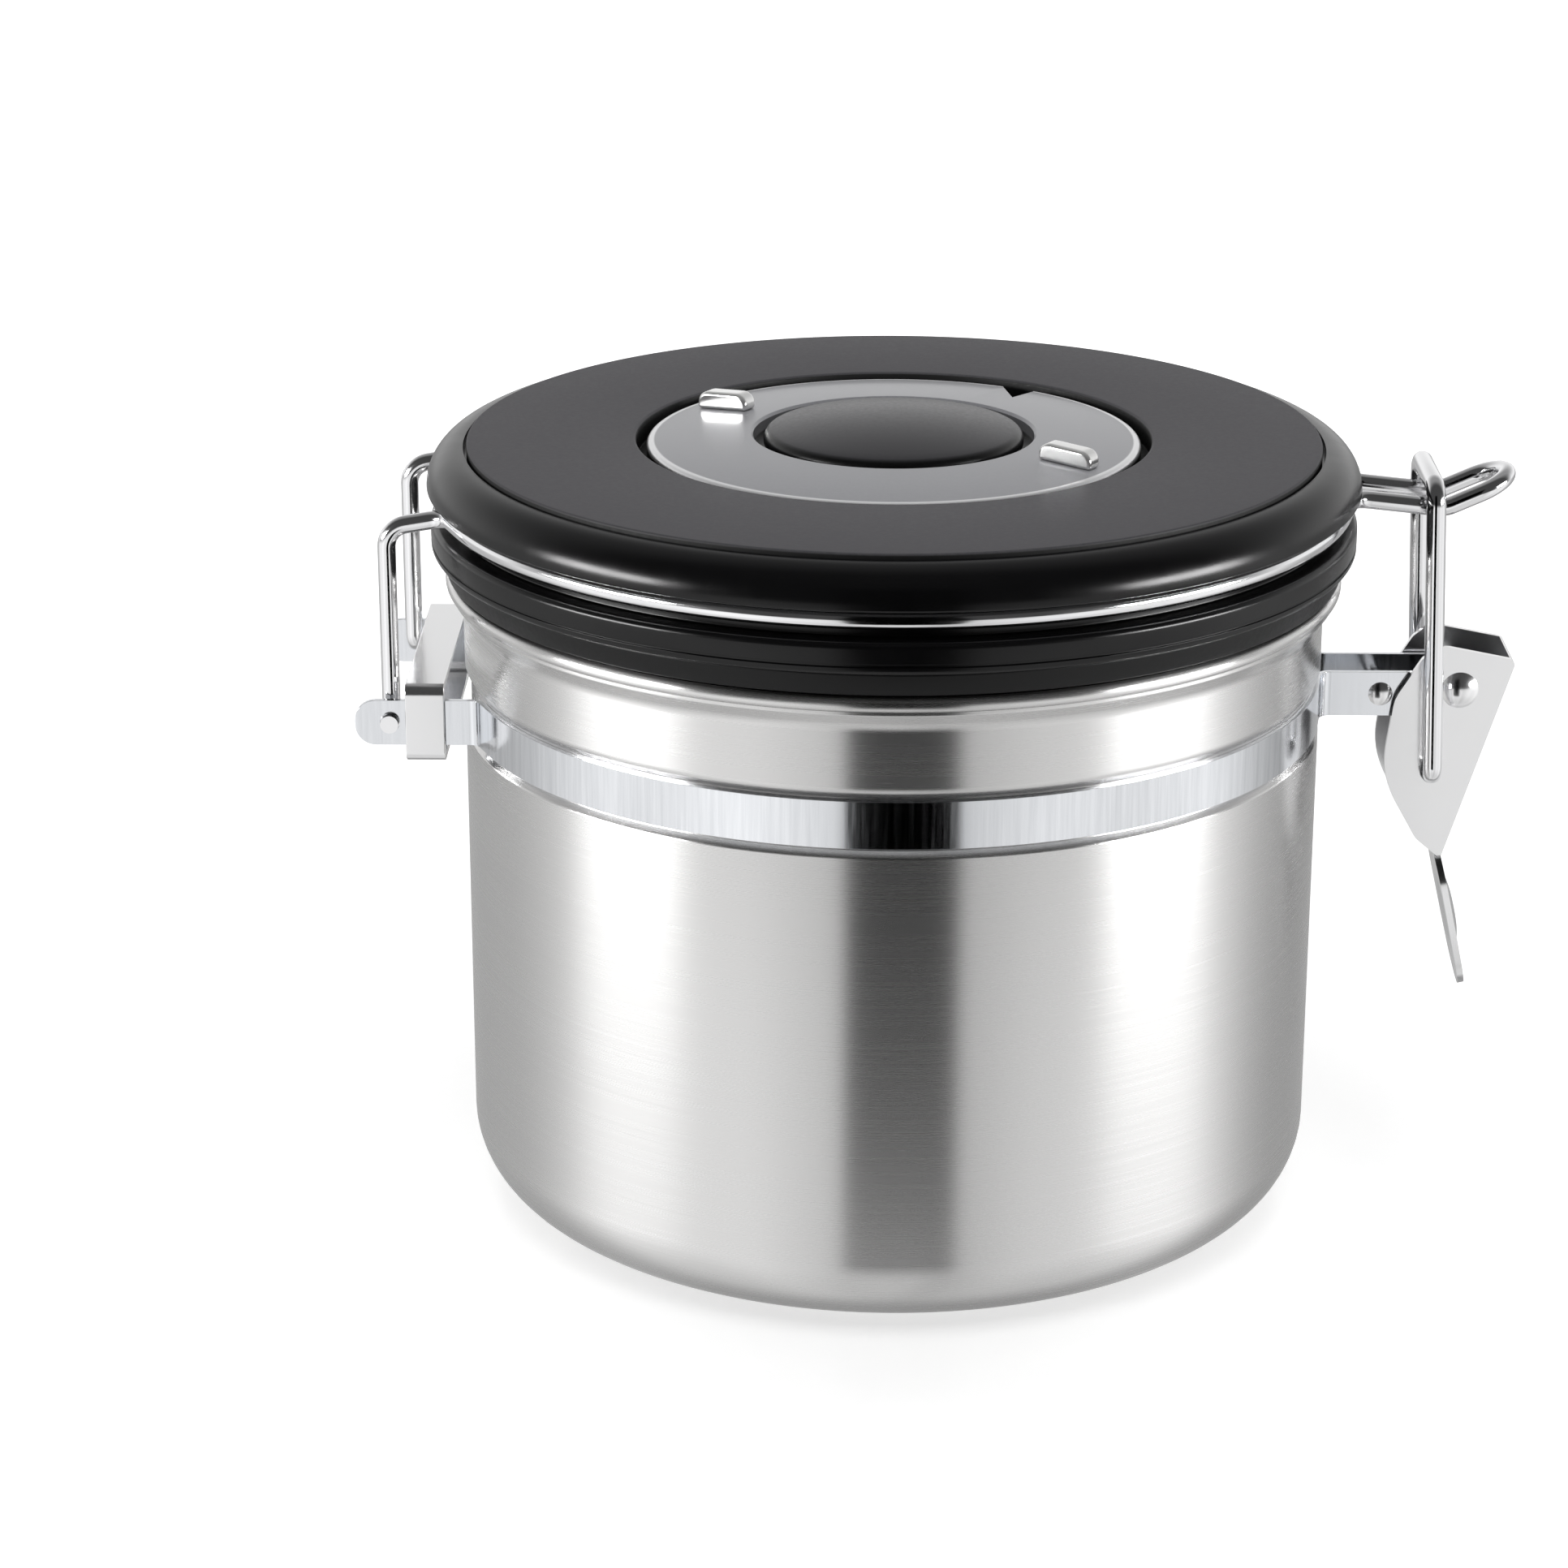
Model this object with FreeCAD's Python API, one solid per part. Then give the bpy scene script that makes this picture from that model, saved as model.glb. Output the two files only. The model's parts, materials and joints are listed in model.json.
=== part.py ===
import FreeCAD, Part
import math
import os

Vector = FreeCAD.Vector

# Lengths are in millimetres, +Z is up, +X points to the latch and -Y is the front.
# The origin is the middle of the base, on the surface the canister stands on.

# Drawn steel pot
body_radius = 60.0
sheet_wall = 0.7
base_corner_radius = 11.0
base_bead_inner_share = 0.55
base_bead_outer_share = 0.75
base_bead_rise = 1.3
base_bead_run = 3.0
base_bead_blend = 2.0
neck_top_z = 86.6
neck_shoulder_radius = 1.6
flare_reach = 1.7
flare_rise = 2.0
flare_blend = 2.4
rim_above_flare = 2.4
rim_bead_radius = 1.0

# Clamp band in its rolled groove
band_below_neck = 13.4
band_height = 6.4
band_thickness = 0.8
band_fit = 0.03
groove_margin = 0.45
groove_run = 0.8
groove_blend = 0.5
band_fold_radius = 2.2
fold_spread_angle = 5.0
ear_end_radius_share = 0.45

# Hinge ears on the band and the clip that ties them
ear_end_reach = 4.8
hinge_ear_half = 18.8
clip_standoff = 1.4
hinge_clip_width = 5.4
hinge_clip_rise = 2.3
hinge_clip_thickness = 0.8
hinge_clip_inner_corner = 0.7
clip_fit = 0.03
clip_leg_gap = 0.95

# Lid wire, one piece from hinge hook to hinge hook
wire_radius = 1.25
wire_fit = 0.05
wire_gap = 0.15
wire_above_flange = 1.35
wire_dip = 1.4
leg_gap = 0.85
hook_overhang = 1.0
wire_bend_radius = 3.2
hook_bend_radius = 2.0
wire_turn_radius = 3.6
hinge_lead_angle = 5.5
tail_half = 4.5
tail_lead_angle = 8.0
tail_reach = 1.9
tail_bend_radius = 4.0
loop_straight = 5.2
loop_rise_angle = 24.0
pin_play = 0.08

# Lid, from the seal up to the top plate
lid_gap = 0.35
part_fit = 0.02
lid_neck_inset = 0.5
seal_height = 3.25
seal_inset = 1.1
seal_taper = 1.0
seal_bead = 0.5
flange_beyond_wire = 1.7
flange_height = 4.4
flange_corner = 0.9
lid_floor = 1.6
lid_wall = 1.6
lid_wall_engage = 2.4
plug_clearance = 2.5
plug_wall = 1.6
plug_drop = 2.0
plug_corner = 0.5
cover_overhang = 0.45
cover_height = 6.2
cover_lip_share = 0.08
cover_crown_share = 0.985
crown_width = 5.2
crease_gap = 0.25
cover_ledge = 2.5
plate_thickness = 2.0
plate_edge_radius = 0.3
well_depth = 3.2
well_wall = 1.4
well_floor = 1.2
well_edge_radius = 0.5

# Date dial and its grips
dial_radius = 34.2
dial_side_gap = 1.45
dial_proud = 0.45
dial_fall = 1.0
dial_ledge_height = 1.0
dial_run_gap = 0.4
dial_edge_radius = 0.7
dial_inner_chamfer = 0.35
notch_angle = 58.0
notch_half_width = 3.3
notch_depth = 7.0
grip_angle = 148.0
grip_middle_share = 0.56
grip_length_share = 0.55
grip_thickness = 2.9
grip_height = 2.5
grip_corner_radius = 1.7
grip_edge_radius = 0.5

# Freshness valve in the middle of the lid
cap_radius = 18.0
cap_side_gap = 1.45
cap_rim = 2.0
cap_rise = 2.1
cap_shoulder = 1.4
cap_plate = 1.1
cap_over_ledge = 0.5
cap_overhang = 2.5
cap_hub_wall = 1.5
hub_run_gap = 0.5
spigot_wall = 1.2
spigot_engage = 2.6
cap_vent_width = 3.2
valve_tube_radius = 11.0
valve_tube_wall = 1.6
valve_flange_reach = 3.6
valve_flange = 1.4
gasket_thickness = 0.7
gasket_inset = 0.5
valve_top_gap = 0.3
seat_above_floor = 0.6
seat_plate = 1.0
seat_hole_radius = 1.3
seat_hole_count = 6
guide_radius = 1.0
guide_height = 3.4
disc_side_gap = 2.1
disc_thickness = 0.9
disc_seat_gap = 0.3
disc_bore_play = 0.35
guard_thickness = 1.2
guard_hole_radius = 0.9
guard_edge = 3.0
guard_count = 12
guard_inner_count = 6

# Latch on the +X side
latch_ear_half = 4.2
pivot_standoff = 19.3
pivot_lift = 1.0
pivot_radius = 1.5
pivot_ear_reach = 3.3
pivot_head_radius = 2.6
pivot_head_height = 1.1
ear_rivet_gap = 0.4
ear_rivet_radius = 1.1
ear_rivet_head_radius = 1.7
ear_rivet_head = 0.5
lever_sheet = 0.9
lever_gap = 0.35
cheek_size = 30.0
cheek_outline_shares = ((-0.180, 0.150), (-0.100, 0.215), (0.257, 0.145), (-0.045, -0.820),
                        (-0.070, -0.820), (-0.172, -0.735), (-0.350, -0.420), (-0.300, -0.045))
cheek_corner_shares = (0.060, 0.110, 0.030, 0, 0, 0.120, 0.450, 0.200)
bail_hole_shares = (0.12, 0.40)
tab_length = 21.9
tab_angle = 13.0
tab_bend_radius = 4.0
tab_half_width = 6.2
tab_neck_half = 3.6
tab_shoulder_share = 0.30
tab_shoulder_corner_share = 0.9
tab_tip_share = 0.62
tab_tip_corner_share = 0.58
tab_dish_length = 11.0
tab_dish_width = 6.6
tab_dish_depth = 0.4
tab_dish_share = 0.52
bail_radius = 1.35
bail_gap = 0.35
bail_bend_radius = 2.6
bail_hook_inside = 0.7
bail_standoff = 9.55
bail_rest_gap = 1.25

# Every cut runs this far past the face it goes through
overrun = 1.0

# Axes
axis_z = Vector(0, 0, 1)
axis_y = Vector(0, 1, 0)
origin = Vector(0, 0, 0)

# Heights that follow, from the band up to the valve
band_z = neck_top_z - band_below_neck
hinge_z = band_z
groove_low_z = band_z - band_height / 2 - groove_margin
groove_high_z = band_z + band_height / 2 + groove_margin
rim_z = neck_top_z + flare_rise + rim_above_flare
seal_low_z = rim_z + lid_gap
flange_low_z = seal_low_z + seal_height
flange_top_z = flange_low_z + flange_height
wire_z = flange_top_z + wire_above_flange + wire_radius
wire_low_z = wire_z - wire_dip
cover_low_z = wire_z + wire_radius + wire_gap
lid_wall_top_z = cover_low_z + lid_wall_engage
lid_top_z = cover_low_z + cover_height
well_floor_z = lid_top_z - well_depth
dial_low_z = well_floor_z + dial_run_gap
dial_top_z = lid_top_z + dial_proud
dial_edge_z = dial_top_z - dial_fall
ledge_top_z = dial_low_z + dial_ledge_height
cap_low_z = ledge_top_z + cap_over_ledge
cap_rim_z = cap_low_z + cap_rim
cap_top_z = cap_rim_z + cap_rise
valve_top_z = well_floor_z - well_floor - valve_top_gap
valve_flange_top_z = flange_low_z - gasket_thickness
valve_low_z = valve_flange_top_z - valve_flange
seat_low_z = flange_low_z + seat_above_floor
seat_top_z = seat_low_z + seat_plate

# Radii that follow, from the pot out to the lid and in to the valve
groove_radius = body_radius - band_thickness - band_fit
band_mid_radius = groove_radius + band_fit + band_thickness / 2
plug_radius = body_radius - sheet_wall - plug_clearance
lid_neck_radius = body_radius + flare_reach - lid_neck_inset
wire_ring_radius = lid_neck_radius + wire_fit + wire_radius
flange_radius = wire_ring_radius + flange_beyond_wire
seal_upper_radius = flange_radius - seal_inset
seal_lower_radius = seal_upper_radius - seal_taper
cover_radius = flange_radius + cover_overhang
crease_radius = cover_radius - crown_width
cover_lip_radius = cover_height * cover_lip_share
cover_crown_radius = min(crown_width, cover_height - cover_lip_radius) * cover_crown_share
well_radius = dial_radius + dial_side_gap
dial_inner_radius = cap_radius + cap_side_gap
cap_hub_radius = cap_radius - cap_overhang
dial_ledge_radius = cap_hub_radius + hub_run_gap
valve_bore_radius = valve_tube_radius - valve_tube_wall
valve_flange_radius = valve_tube_radius + valve_flange_reach
disc_radius = valve_bore_radius - disc_side_gap
seat_hole_circle = (guide_radius + disc_radius) / 2
guard_circle = valve_bore_radius - guard_edge

# Places that follow on the hinge and the latch
hinge_clip_inner_x = -body_radius - clip_standoff
hinge_x = hinge_clip_inner_x - hinge_clip_width - clip_leg_gap - wire_radius
leg_half = hinge_ear_half - band_thickness / 2 - leg_gap - wire_radius
pivot_x = body_radius + pivot_standoff
pivot_z = band_z + pivot_lift
ear_rivet_x = pivot_x + min(along for along, rise in cheek_outline_shares) * cheek_size - ear_rivet_gap
ear_outer_y = latch_ear_half + band_thickness / 2
cheek_inner_y = ear_outer_y + lever_gap
cheek_outer_y = cheek_inner_y + lever_sheet
bail_half = cheek_outer_y + pivot_head_height + bail_gap + bail_radius
bail_hole_x = pivot_x - bail_hole_shares[0] * cheek_size
bail_hole_z = pivot_z - bail_hole_shares[1] * cheek_size
bail_top_x = cover_radius + bail_standoff
bail_top_z = wire_low_z + wire_radius + bail_radius + bail_rest_gap
tail_bend_x = bail_top_x + tail_reach


def unit(vector):
    return vector * (1 / vector.Length)


def bent_edges(points, radii, closed=False):
    # Straight runs joined by tangent arcs of the given corner radii.
    count = len(points)
    entries = []
    exits = []
    middles = []
    for index in range(count):
        corner = points[index]
        radius = radii[index]
        if radius <= 0:
            entries.append(corner)
            exits.append(corner)
            middles.append(None)
            continue
        before = unit(points[index - 1] - corner)
        after = unit(points[(index + 1) % count] - corner)
        half = before.getAngle(after) / 2
        reach = radius / math.tan(half)
        bisector = unit(before + after)
        entries.append(corner + before * reach)
        exits.append(corner + after * reach)
        middles.append(corner + bisector * (radius / math.sin(half) - radius))
    edges = []
    for index in range(count):
        if middles[index] is not None:
            edges.append(Part.Arc(entries[index], middles[index], exits[index]).toShape())
        if index + 1 == count and not closed:
            break
        target = entries[(index + 1) % count]
        if not exits[index].isEqual(target, Part.Precision.confusion()):
            edges.append(Part.makeLine(exits[index], target))
    return edges


def turned(points, radii=None):
    # A closed radius and height outline turned about the canister's axis.
    corners = [Vector(radius, 0, height) for radius, height in points]
    radii = radii or [0] * len(corners)
    face = Part.Face(Part.Wire(bent_edges(corners, radii, closed=True)))
    return face.revolve(origin, axis_z, 360)


def sheet_turned(points, radii, wall):
    # A sheet whose outer face follows the outline, with the wall laid to the inner side.
    outer = [Vector(radius, 0, height) for radius, height in points]
    count = len(outer)
    steps = [unit(outer[index + 1] - outer[index]) for index in range(count - 1)]
    sides = [Vector(-step.z, 0, step.x) for step in steps]
    inner = [outer[0] + sides[0] * wall]
    inner_radii = [0]
    for index in range(1, count - 1):
        before = sides[index - 1]
        after = sides[index]
        miter = unit(before + after)
        inner.append(outer[index] + miter * (wall / miter.dot(after)))
        left_turn = steps[index - 1].x * steps[index].z - steps[index - 1].z * steps[index].x > 0
        inner_radii.append(max(radii[index] - wall, 0) if left_turn else radii[index] + wall)
    inner.append(outer[-1] + sides[-1] * wall)
    inner_radii.append(0)
    edges = bent_edges(outer, radii)
    edges.append(Part.makeLine(outer[-1], inner[-1]))
    edges += bent_edges(inner[::-1], inner_radii[::-1])
    edges.append(Part.makeLine(inner[0], outer[0]))
    return Part.Face(Part.Wire(edges)).revolve(origin, axis_z, 360)


def upright(points, radii, half_depth, middle_y=0):
    # An outline in the X and Z plane made solid along Y, to both sides of its middle.
    corners = [Vector(x, middle_y - half_depth, z) for x, z in points]
    face = Part.Face(Part.Wire(bent_edges(corners, radii, closed=True)))
    return face.extrude(axis_y * (half_depth * 2))


def cylinder_y(radius, x, z, y_low, y_high):
    return Part.makeCylinder(radius, y_high - y_low, Vector(x, y_low, z), axis_y)


def round_sweep(edges, radius, start, heading):
    section = Part.Wire([Part.makeCircle(radius, start, heading)])
    return Part.Wire(edges).makePipeShell([section], True, False)


def flip_y(point):
    return Vector(point.x, -point.y, point.z)


def ring_point(radius, angle, height):
    turn = math.radians(angle)
    return Vector(radius * math.cos(turn), radius * math.sin(turn), height)


def tangent_corner(radius, angle, y, height):
    # Where the tangent at a ring point meets a line that runs along X.
    touch = ring_point(radius, angle, height)
    turn = math.radians(angle)
    heading = Vector(-math.sin(turn), math.cos(turn), 0)
    return touch + heading * ((y - touch.y) / heading.y)


def side_angle(radius, half):
    return math.degrees(math.asin(half / radius))


def hole_ring(radius, circle, count, z_low, z_high, first=0):
    holes = []
    for index in range(count):
        place = ring_point(circle, first + 360 * index / count, z_low)
        holes.append(Part.makeCylinder(radius, z_high - z_low, place, axis_z))
    return holes


def headed_pin(radius, reach, head_radius, head_height, x, z):
    # A pin along Y with a shallow dome closed over each end, turned in one go.
    dome = (head_radius ** 2 + head_height ** 2) / (2 * head_height)
    half = head_radius / 2
    sag = dome - math.sqrt(dome ** 2 - half ** 2)

    def at(out, along):
        return Vector(x + out, along, z)

    tip = reach + head_height
    edges = [Part.Arc(at(0, -tip), at(half, sag - tip), at(head_radius, -reach)).toShape()]
    edges += bent_edges([at(head_radius, -reach), at(radius, -reach), at(radius, reach),
                         at(head_radius, reach)], [0, 0, 0, 0])
    edges.append(Part.Arc(at(head_radius, reach), at(half, tip - sag), at(0, tip)).toShape())
    edges.append(Part.makeLine(at(0, tip), at(0, -tip)))
    return Part.Face(Part.Wire(edges)).revolve(at(0, 0), axis_y, 360)


# Pot: base with a stiffening bead, round corner, rolled band groove, neck and flared rim with a bead
base_bead_inner = body_radius * base_bead_inner_share
base_bead_outer = body_radius * base_bead_outer_share
body_points = [(0, 0), (base_bead_inner, 0), (base_bead_inner + base_bead_run, base_bead_rise),
               (base_bead_outer - base_bead_run, base_bead_rise), (base_bead_outer, 0), (body_radius, 0),
               (body_radius, groove_low_z - groove_run), (groove_radius, groove_low_z),
               (groove_radius, groove_high_z), (body_radius, groove_high_z + groove_run),
               (body_radius, neck_top_z), (body_radius + flare_reach, neck_top_z + flare_rise),
               (body_radius + flare_reach, rim_z - rim_bead_radius)]
bead_blends = [base_bead_blend] * 4
groove_blends = [groove_blend] * 3
body_radii = [0, *bead_blends, base_corner_radius, *groove_blends, neck_shoulder_radius,
              flare_blend, flare_blend / 2, 0]
canister_body = sheet_turned(body_points, body_radii, sheet_wall)
bead_circle = body_radius + flare_reach - sheet_wall / 2
bead_middle = Vector(0, 0, rim_z - rim_bead_radius)
canister_body = canister_body.fuse(Part.makeTorus(bead_circle, rim_bead_radius, bead_middle))
canister_body = canister_body.removeSplitter()

# Clamp band half: hinge ear, fold, run round the front and latch ear
hinge_side = 180 + side_angle(band_mid_radius, hinge_ear_half) + fold_spread_angle
latch_side = 360 - side_angle(band_mid_radius, latch_ear_half) - fold_spread_angle
hinge_ear_end = Vector(hinge_x - ear_end_reach, -hinge_ear_half, band_z)
latch_ear_end = Vector(pivot_x + pivot_ear_reach, -latch_ear_half, band_z)
hinge_fold = tangent_corner(band_mid_radius, hinge_side, -hinge_ear_half, band_z)
latch_fold = tangent_corner(band_mid_radius, latch_side, -latch_ear_half, band_z)
band_start = ring_point(band_mid_radius, hinge_side, band_z)
band_front = ring_point(band_mid_radius, (hinge_side + latch_side) / 2, band_z)
band_finish = ring_point(band_mid_radius, latch_side, band_z)
band_edges = bent_edges([hinge_ear_end, hinge_fold, band_start], [0, band_fold_radius, 0])
band_edges.append(Part.Arc(band_start, band_front, band_finish).toShape())
band_edges += bent_edges([band_finish, latch_fold, latch_ear_end], [0, band_fold_radius, 0])
half_band = band_thickness / 2
half_height = band_height / 2
section_corners = [hinge_ear_end + Vector(0, side * half_band, rise * half_height)
                   for side, rise in ((-1, -1), (1, -1), (1, 1), (-1, 1))]
band_section = Part.Wire(bent_edges(section_corners, [0] * len(section_corners), closed=True))
clamp_band_front = Part.Wire(band_edges).makePipeShell([band_section], True, False)
ear_corners = []
for edge in clamp_band_front.Edges:
    middle = edge.CenterOfMass
    at_end = abs(middle.x - hinge_ear_end.x) < half_band or abs(middle.x - latch_ear_end.x) < half_band
    at_corner = abs(abs(middle.z - band_z) - half_height) < half_band
    if at_end and at_corner and abs(edge.Length - band_thickness) < half_band:
        ear_corners.append(edge)
clamp_band_front = clamp_band_front.makeFillet(band_height * ear_end_radius_share, ear_corners)
ear_holes = [cylinder_y(wire_radius + pin_play, hinge_x, hinge_z, -body_radius, body_radius),
             cylinder_y(pivot_radius + pin_play, pivot_x, pivot_z, -body_radius, body_radius),
             cylinder_y(ear_rivet_radius + part_fit, ear_rivet_x, band_z, -body_radius, body_radius)]
for hole in ear_holes:
    clamp_band_front = clamp_band_front.cut(hole)
clamp_band_rear = clamp_band_front.mirror(origin, axis_y)

# Hinge clip: a flat strip closed round both hinge ears
clip_half = hinge_ear_half + half_band + clip_fit
clip_outer_y = clip_half + hinge_clip_thickness
clip_half_height = half_height + hinge_clip_rise
hinge_clip_corner = hinge_clip_inner_corner + hinge_clip_thickness
clip_low_x = hinge_clip_inner_x - hinge_clip_width


def clip_block(half_y, half_z, corner, x_low, x_high):
    corners = [Vector(x_low, side * half_y, band_z + rise * half_z)
               for side, rise in ((-1, -1), (1, -1), (1, 1), (-1, 1))]
    face = Part.Face(Part.Wire(bent_edges(corners, [corner] * len(corners), closed=True)))
    return face.extrude(Vector(x_high - x_low, 0, 0))


hinge_clip = clip_block(clip_outer_y, clip_half_height, hinge_clip_corner, clip_low_x, hinge_clip_inner_x)
hinge_clip = hinge_clip.cut(clip_block(clip_half, clip_half_height - hinge_clip_thickness,
                                       hinge_clip_inner_corner,
                                       clip_low_x - overrun, hinge_clip_inner_x + overrun))

# Rivet that pulls the latch ears together
latch_ear_rivet = headed_pin(ear_rivet_radius, ear_outer_y + part_fit, ear_rivet_head_radius,
                             ear_rivet_head, ear_rivet_x, band_z)

# Lid wire: hook, leg, ring in the lid groove, tail and finger loop, then back the same way
hook_end = Vector(hinge_x, -(hinge_ear_half + half_band + hook_overhang), hinge_z)
leg_foot = Vector(hinge_x, -leg_half, hinge_z)
leg_top = Vector(hinge_x, -leg_half, wire_low_z)
lead_in = 180 + side_angle(wire_ring_radius, leg_half) + hinge_lead_angle
lead_out = 360 - side_angle(wire_ring_radius, tail_half) - tail_lead_angle
turn_in = tangent_corner(wire_ring_radius, lead_in, -leg_half, wire_z)
turn_out = tangent_corner(wire_ring_radius, lead_out, -tail_half, wire_z)
ring_start = ring_point(wire_ring_radius, lead_in, wire_z)
ring_front = ring_point(wire_ring_radius, (lead_in + lead_out) / 2, wire_z)
ring_end = ring_point(wire_ring_radius, lead_out, wire_z)
loop_turn = math.radians(loop_rise_angle)
loop_heading = Vector(math.cos(loop_turn), 0, math.sin(loop_turn))
tail_bend = Vector(tail_bend_x, -tail_half, wire_low_z)
loop_side = tail_bend + loop_heading * loop_straight
loop_tip = Vector(loop_side.x, 0, loop_side.z) + loop_heading * tail_half
hinge_run = [hook_end, leg_foot, leg_top, turn_in, ring_start]
hinge_bends = [0, hook_bend_radius, wire_bend_radius, wire_turn_radius, 0]
tail_run = [ring_end, turn_out, tail_bend, loop_side]
tail_bends = [0, wire_turn_radius, tail_bend_radius, 0]
wire_edges = bent_edges(hinge_run, hinge_bends)
wire_edges.append(Part.Arc(ring_start, ring_front, ring_end).toShape())
wire_edges += bent_edges(tail_run, tail_bends)
wire_edges.append(Part.Arc(loop_side, loop_tip, flip_y(loop_side)).toShape())
wire_edges += bent_edges([flip_y(point) for point in tail_run[::-1]], tail_bends[::-1])
wire_edges.append(Part.Arc(flip_y(ring_end), flip_y(ring_front), flip_y(ring_start)).toShape())
wire_edges += bent_edges([flip_y(point) for point in hinge_run[::-1]], hinge_bends[::-1])
lid_wire = round_sweep(wire_edges, wire_radius, hook_end, axis_y)

# Lid base: floor, flange under the wire and the wall that locks into the cover
lid_floor_top_z = flange_low_z + lid_floor
valve_hole_radius = valve_tube_radius + part_fit
lid_base = turned(
    [(valve_hole_radius, flange_low_z), (flange_radius, flange_low_z), (flange_radius, flange_top_z),
     (lid_neck_radius, flange_top_z), (lid_neck_radius, lid_wall_top_z),
     (lid_neck_radius - lid_wall, lid_wall_top_z), (lid_neck_radius - lid_wall, lid_floor_top_z),
     (valve_hole_radius, lid_floor_top_z)],
    [0, flange_corner, flange_corner, 0, 0, 0, plug_corner, 0])

# Seal retainer: a ring under the lid base that holds the seal and guides the lid into the neck
plug_inner = plug_radius - plug_wall
plug_low_z = rim_z - plug_drop
seal_retainer = turned(
    [(plug_inner, flange_low_z - part_fit), (plug_inner, plug_low_z), (plug_radius, plug_low_z),
     (plug_radius, flange_low_z - part_fit)],
    [0, plug_corner, plug_corner, 0])

# Seal: a silicone ring under the flange, outside the retainer
lid_seal = turned(
    [(plug_radius + part_fit, seal_low_z), (seal_lower_radius, seal_low_z),
     (seal_upper_radius, flange_low_z - part_fit), (plug_radius + part_fit, flange_low_z - part_fit)],
    [seal_bead, seal_bead, 0, 0])

# Cover rim: the crowned edge with a ledge for the top plate
cover_bore = lid_neck_radius + part_fit
lid_cover = turned(
    [(crease_radius, lid_top_z), (cover_radius, lid_top_z), (cover_radius, cover_low_z),
     (cover_bore, cover_low_z), (cover_bore, lid_wall_top_z + part_fit),
     (crease_radius - cover_ledge, lid_wall_top_z + part_fit),
     (crease_radius - cover_ledge, lid_top_z - plate_thickness),
     (crease_radius, lid_top_z - plate_thickness)],
    [0, cover_crown_radius, cover_lip_radius, 0, 0, 0, 0, 0])

# Top plate with the well the dial turns in
plate_radius = crease_radius - crease_gap
plate_low_z = lid_top_z - plate_thickness + part_fit
lid_top_plate = turned(
    [(plate_radius, lid_top_z), (plate_radius, plate_low_z), (well_radius + well_wall, plate_low_z),
     (well_radius + well_wall, well_floor_z - well_floor),
     (valve_hole_radius, well_floor_z - well_floor), (valve_hole_radius, well_floor_z),
     (well_radius, well_floor_z), (well_radius, lid_top_z)],
    [plate_edge_radius, 0, 0, 0, 0, 0, 0, well_edge_radius])

# Date dial: a ring whose face falls outwards, with its pointer notch
date_dial = turned(
    [(dial_ledge_radius, dial_low_z), (dial_radius, dial_low_z), (dial_radius, dial_edge_z),
     (dial_inner_radius + dial_inner_chamfer, dial_top_z),
     (dial_inner_radius, dial_top_z - dial_inner_chamfer),
     (dial_inner_radius, ledge_top_z), (dial_ledge_radius, ledge_top_z)],
    [0, 0, dial_edge_radius, 0, 0, 0, 0])
notch_mouth = dial_radius + overrun
notch_corners = [Vector(dial_radius - notch_depth, -notch_half_width, dial_low_z - overrun),
                 Vector(notch_mouth, -notch_half_width, dial_low_z - overrun),
                 Vector(notch_mouth, notch_half_width, dial_low_z - overrun)]
notch_face = Part.Face(Part.Wire(bent_edges(notch_corners, [0] * len(notch_corners), closed=True)))
notch = notch_face.extrude(Vector(0, 0, dial_top_z - dial_low_z + overrun * 2))
notch.rotate(origin, axis_z, notch_angle)
date_dial = date_dial.cut(notch)

# Grips: two radial fins on opposite sides of the dial, laid along its falling face
dial_ring = dial_radius - dial_inner_radius
grip_middle_radius = dial_inner_radius + dial_ring * grip_middle_share
grip_length = dial_ring * grip_length_share
grip_inner = grip_middle_radius - grip_length / 2
grip_outer = grip_middle_radius + grip_length / 2
face_inner = dial_inner_radius + dial_inner_chamfer
face_slope = dial_fall / (dial_radius - face_inner)
grip_inner_z = dial_top_z - (grip_inner - face_inner) * face_slope
grip_outer_z = dial_top_z - (grip_outer - face_inner) * face_slope
grip = upright([(grip_inner, grip_inner_z), (grip_outer, grip_outer_z),
                (grip_outer, grip_outer_z + grip_height), (grip_inner, grip_inner_z + grip_height)],
               [0, 0, grip_corner_radius, grip_corner_radius], grip_thickness / 2)
grip_sides = []
for edge in grip.Edges:
    middle = edge.CenterOfMass
    on_side = abs(abs(middle.y) - grip_thickness / 2) < grip_edge_radius
    if on_side and middle.z > grip_inner_z + grip_edge_radius:
        grip_sides.append(edge)
grip = grip.makeFillet(grip_edge_radius, grip_sides)
grips = []
for turn in (grip_angle, grip_angle + 180):
    placed = grip.copy()
    placed.rotate(origin, axis_z, turn)
    grips.append(placed)
dial_grips = Part.makeCompound(grips)

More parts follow.
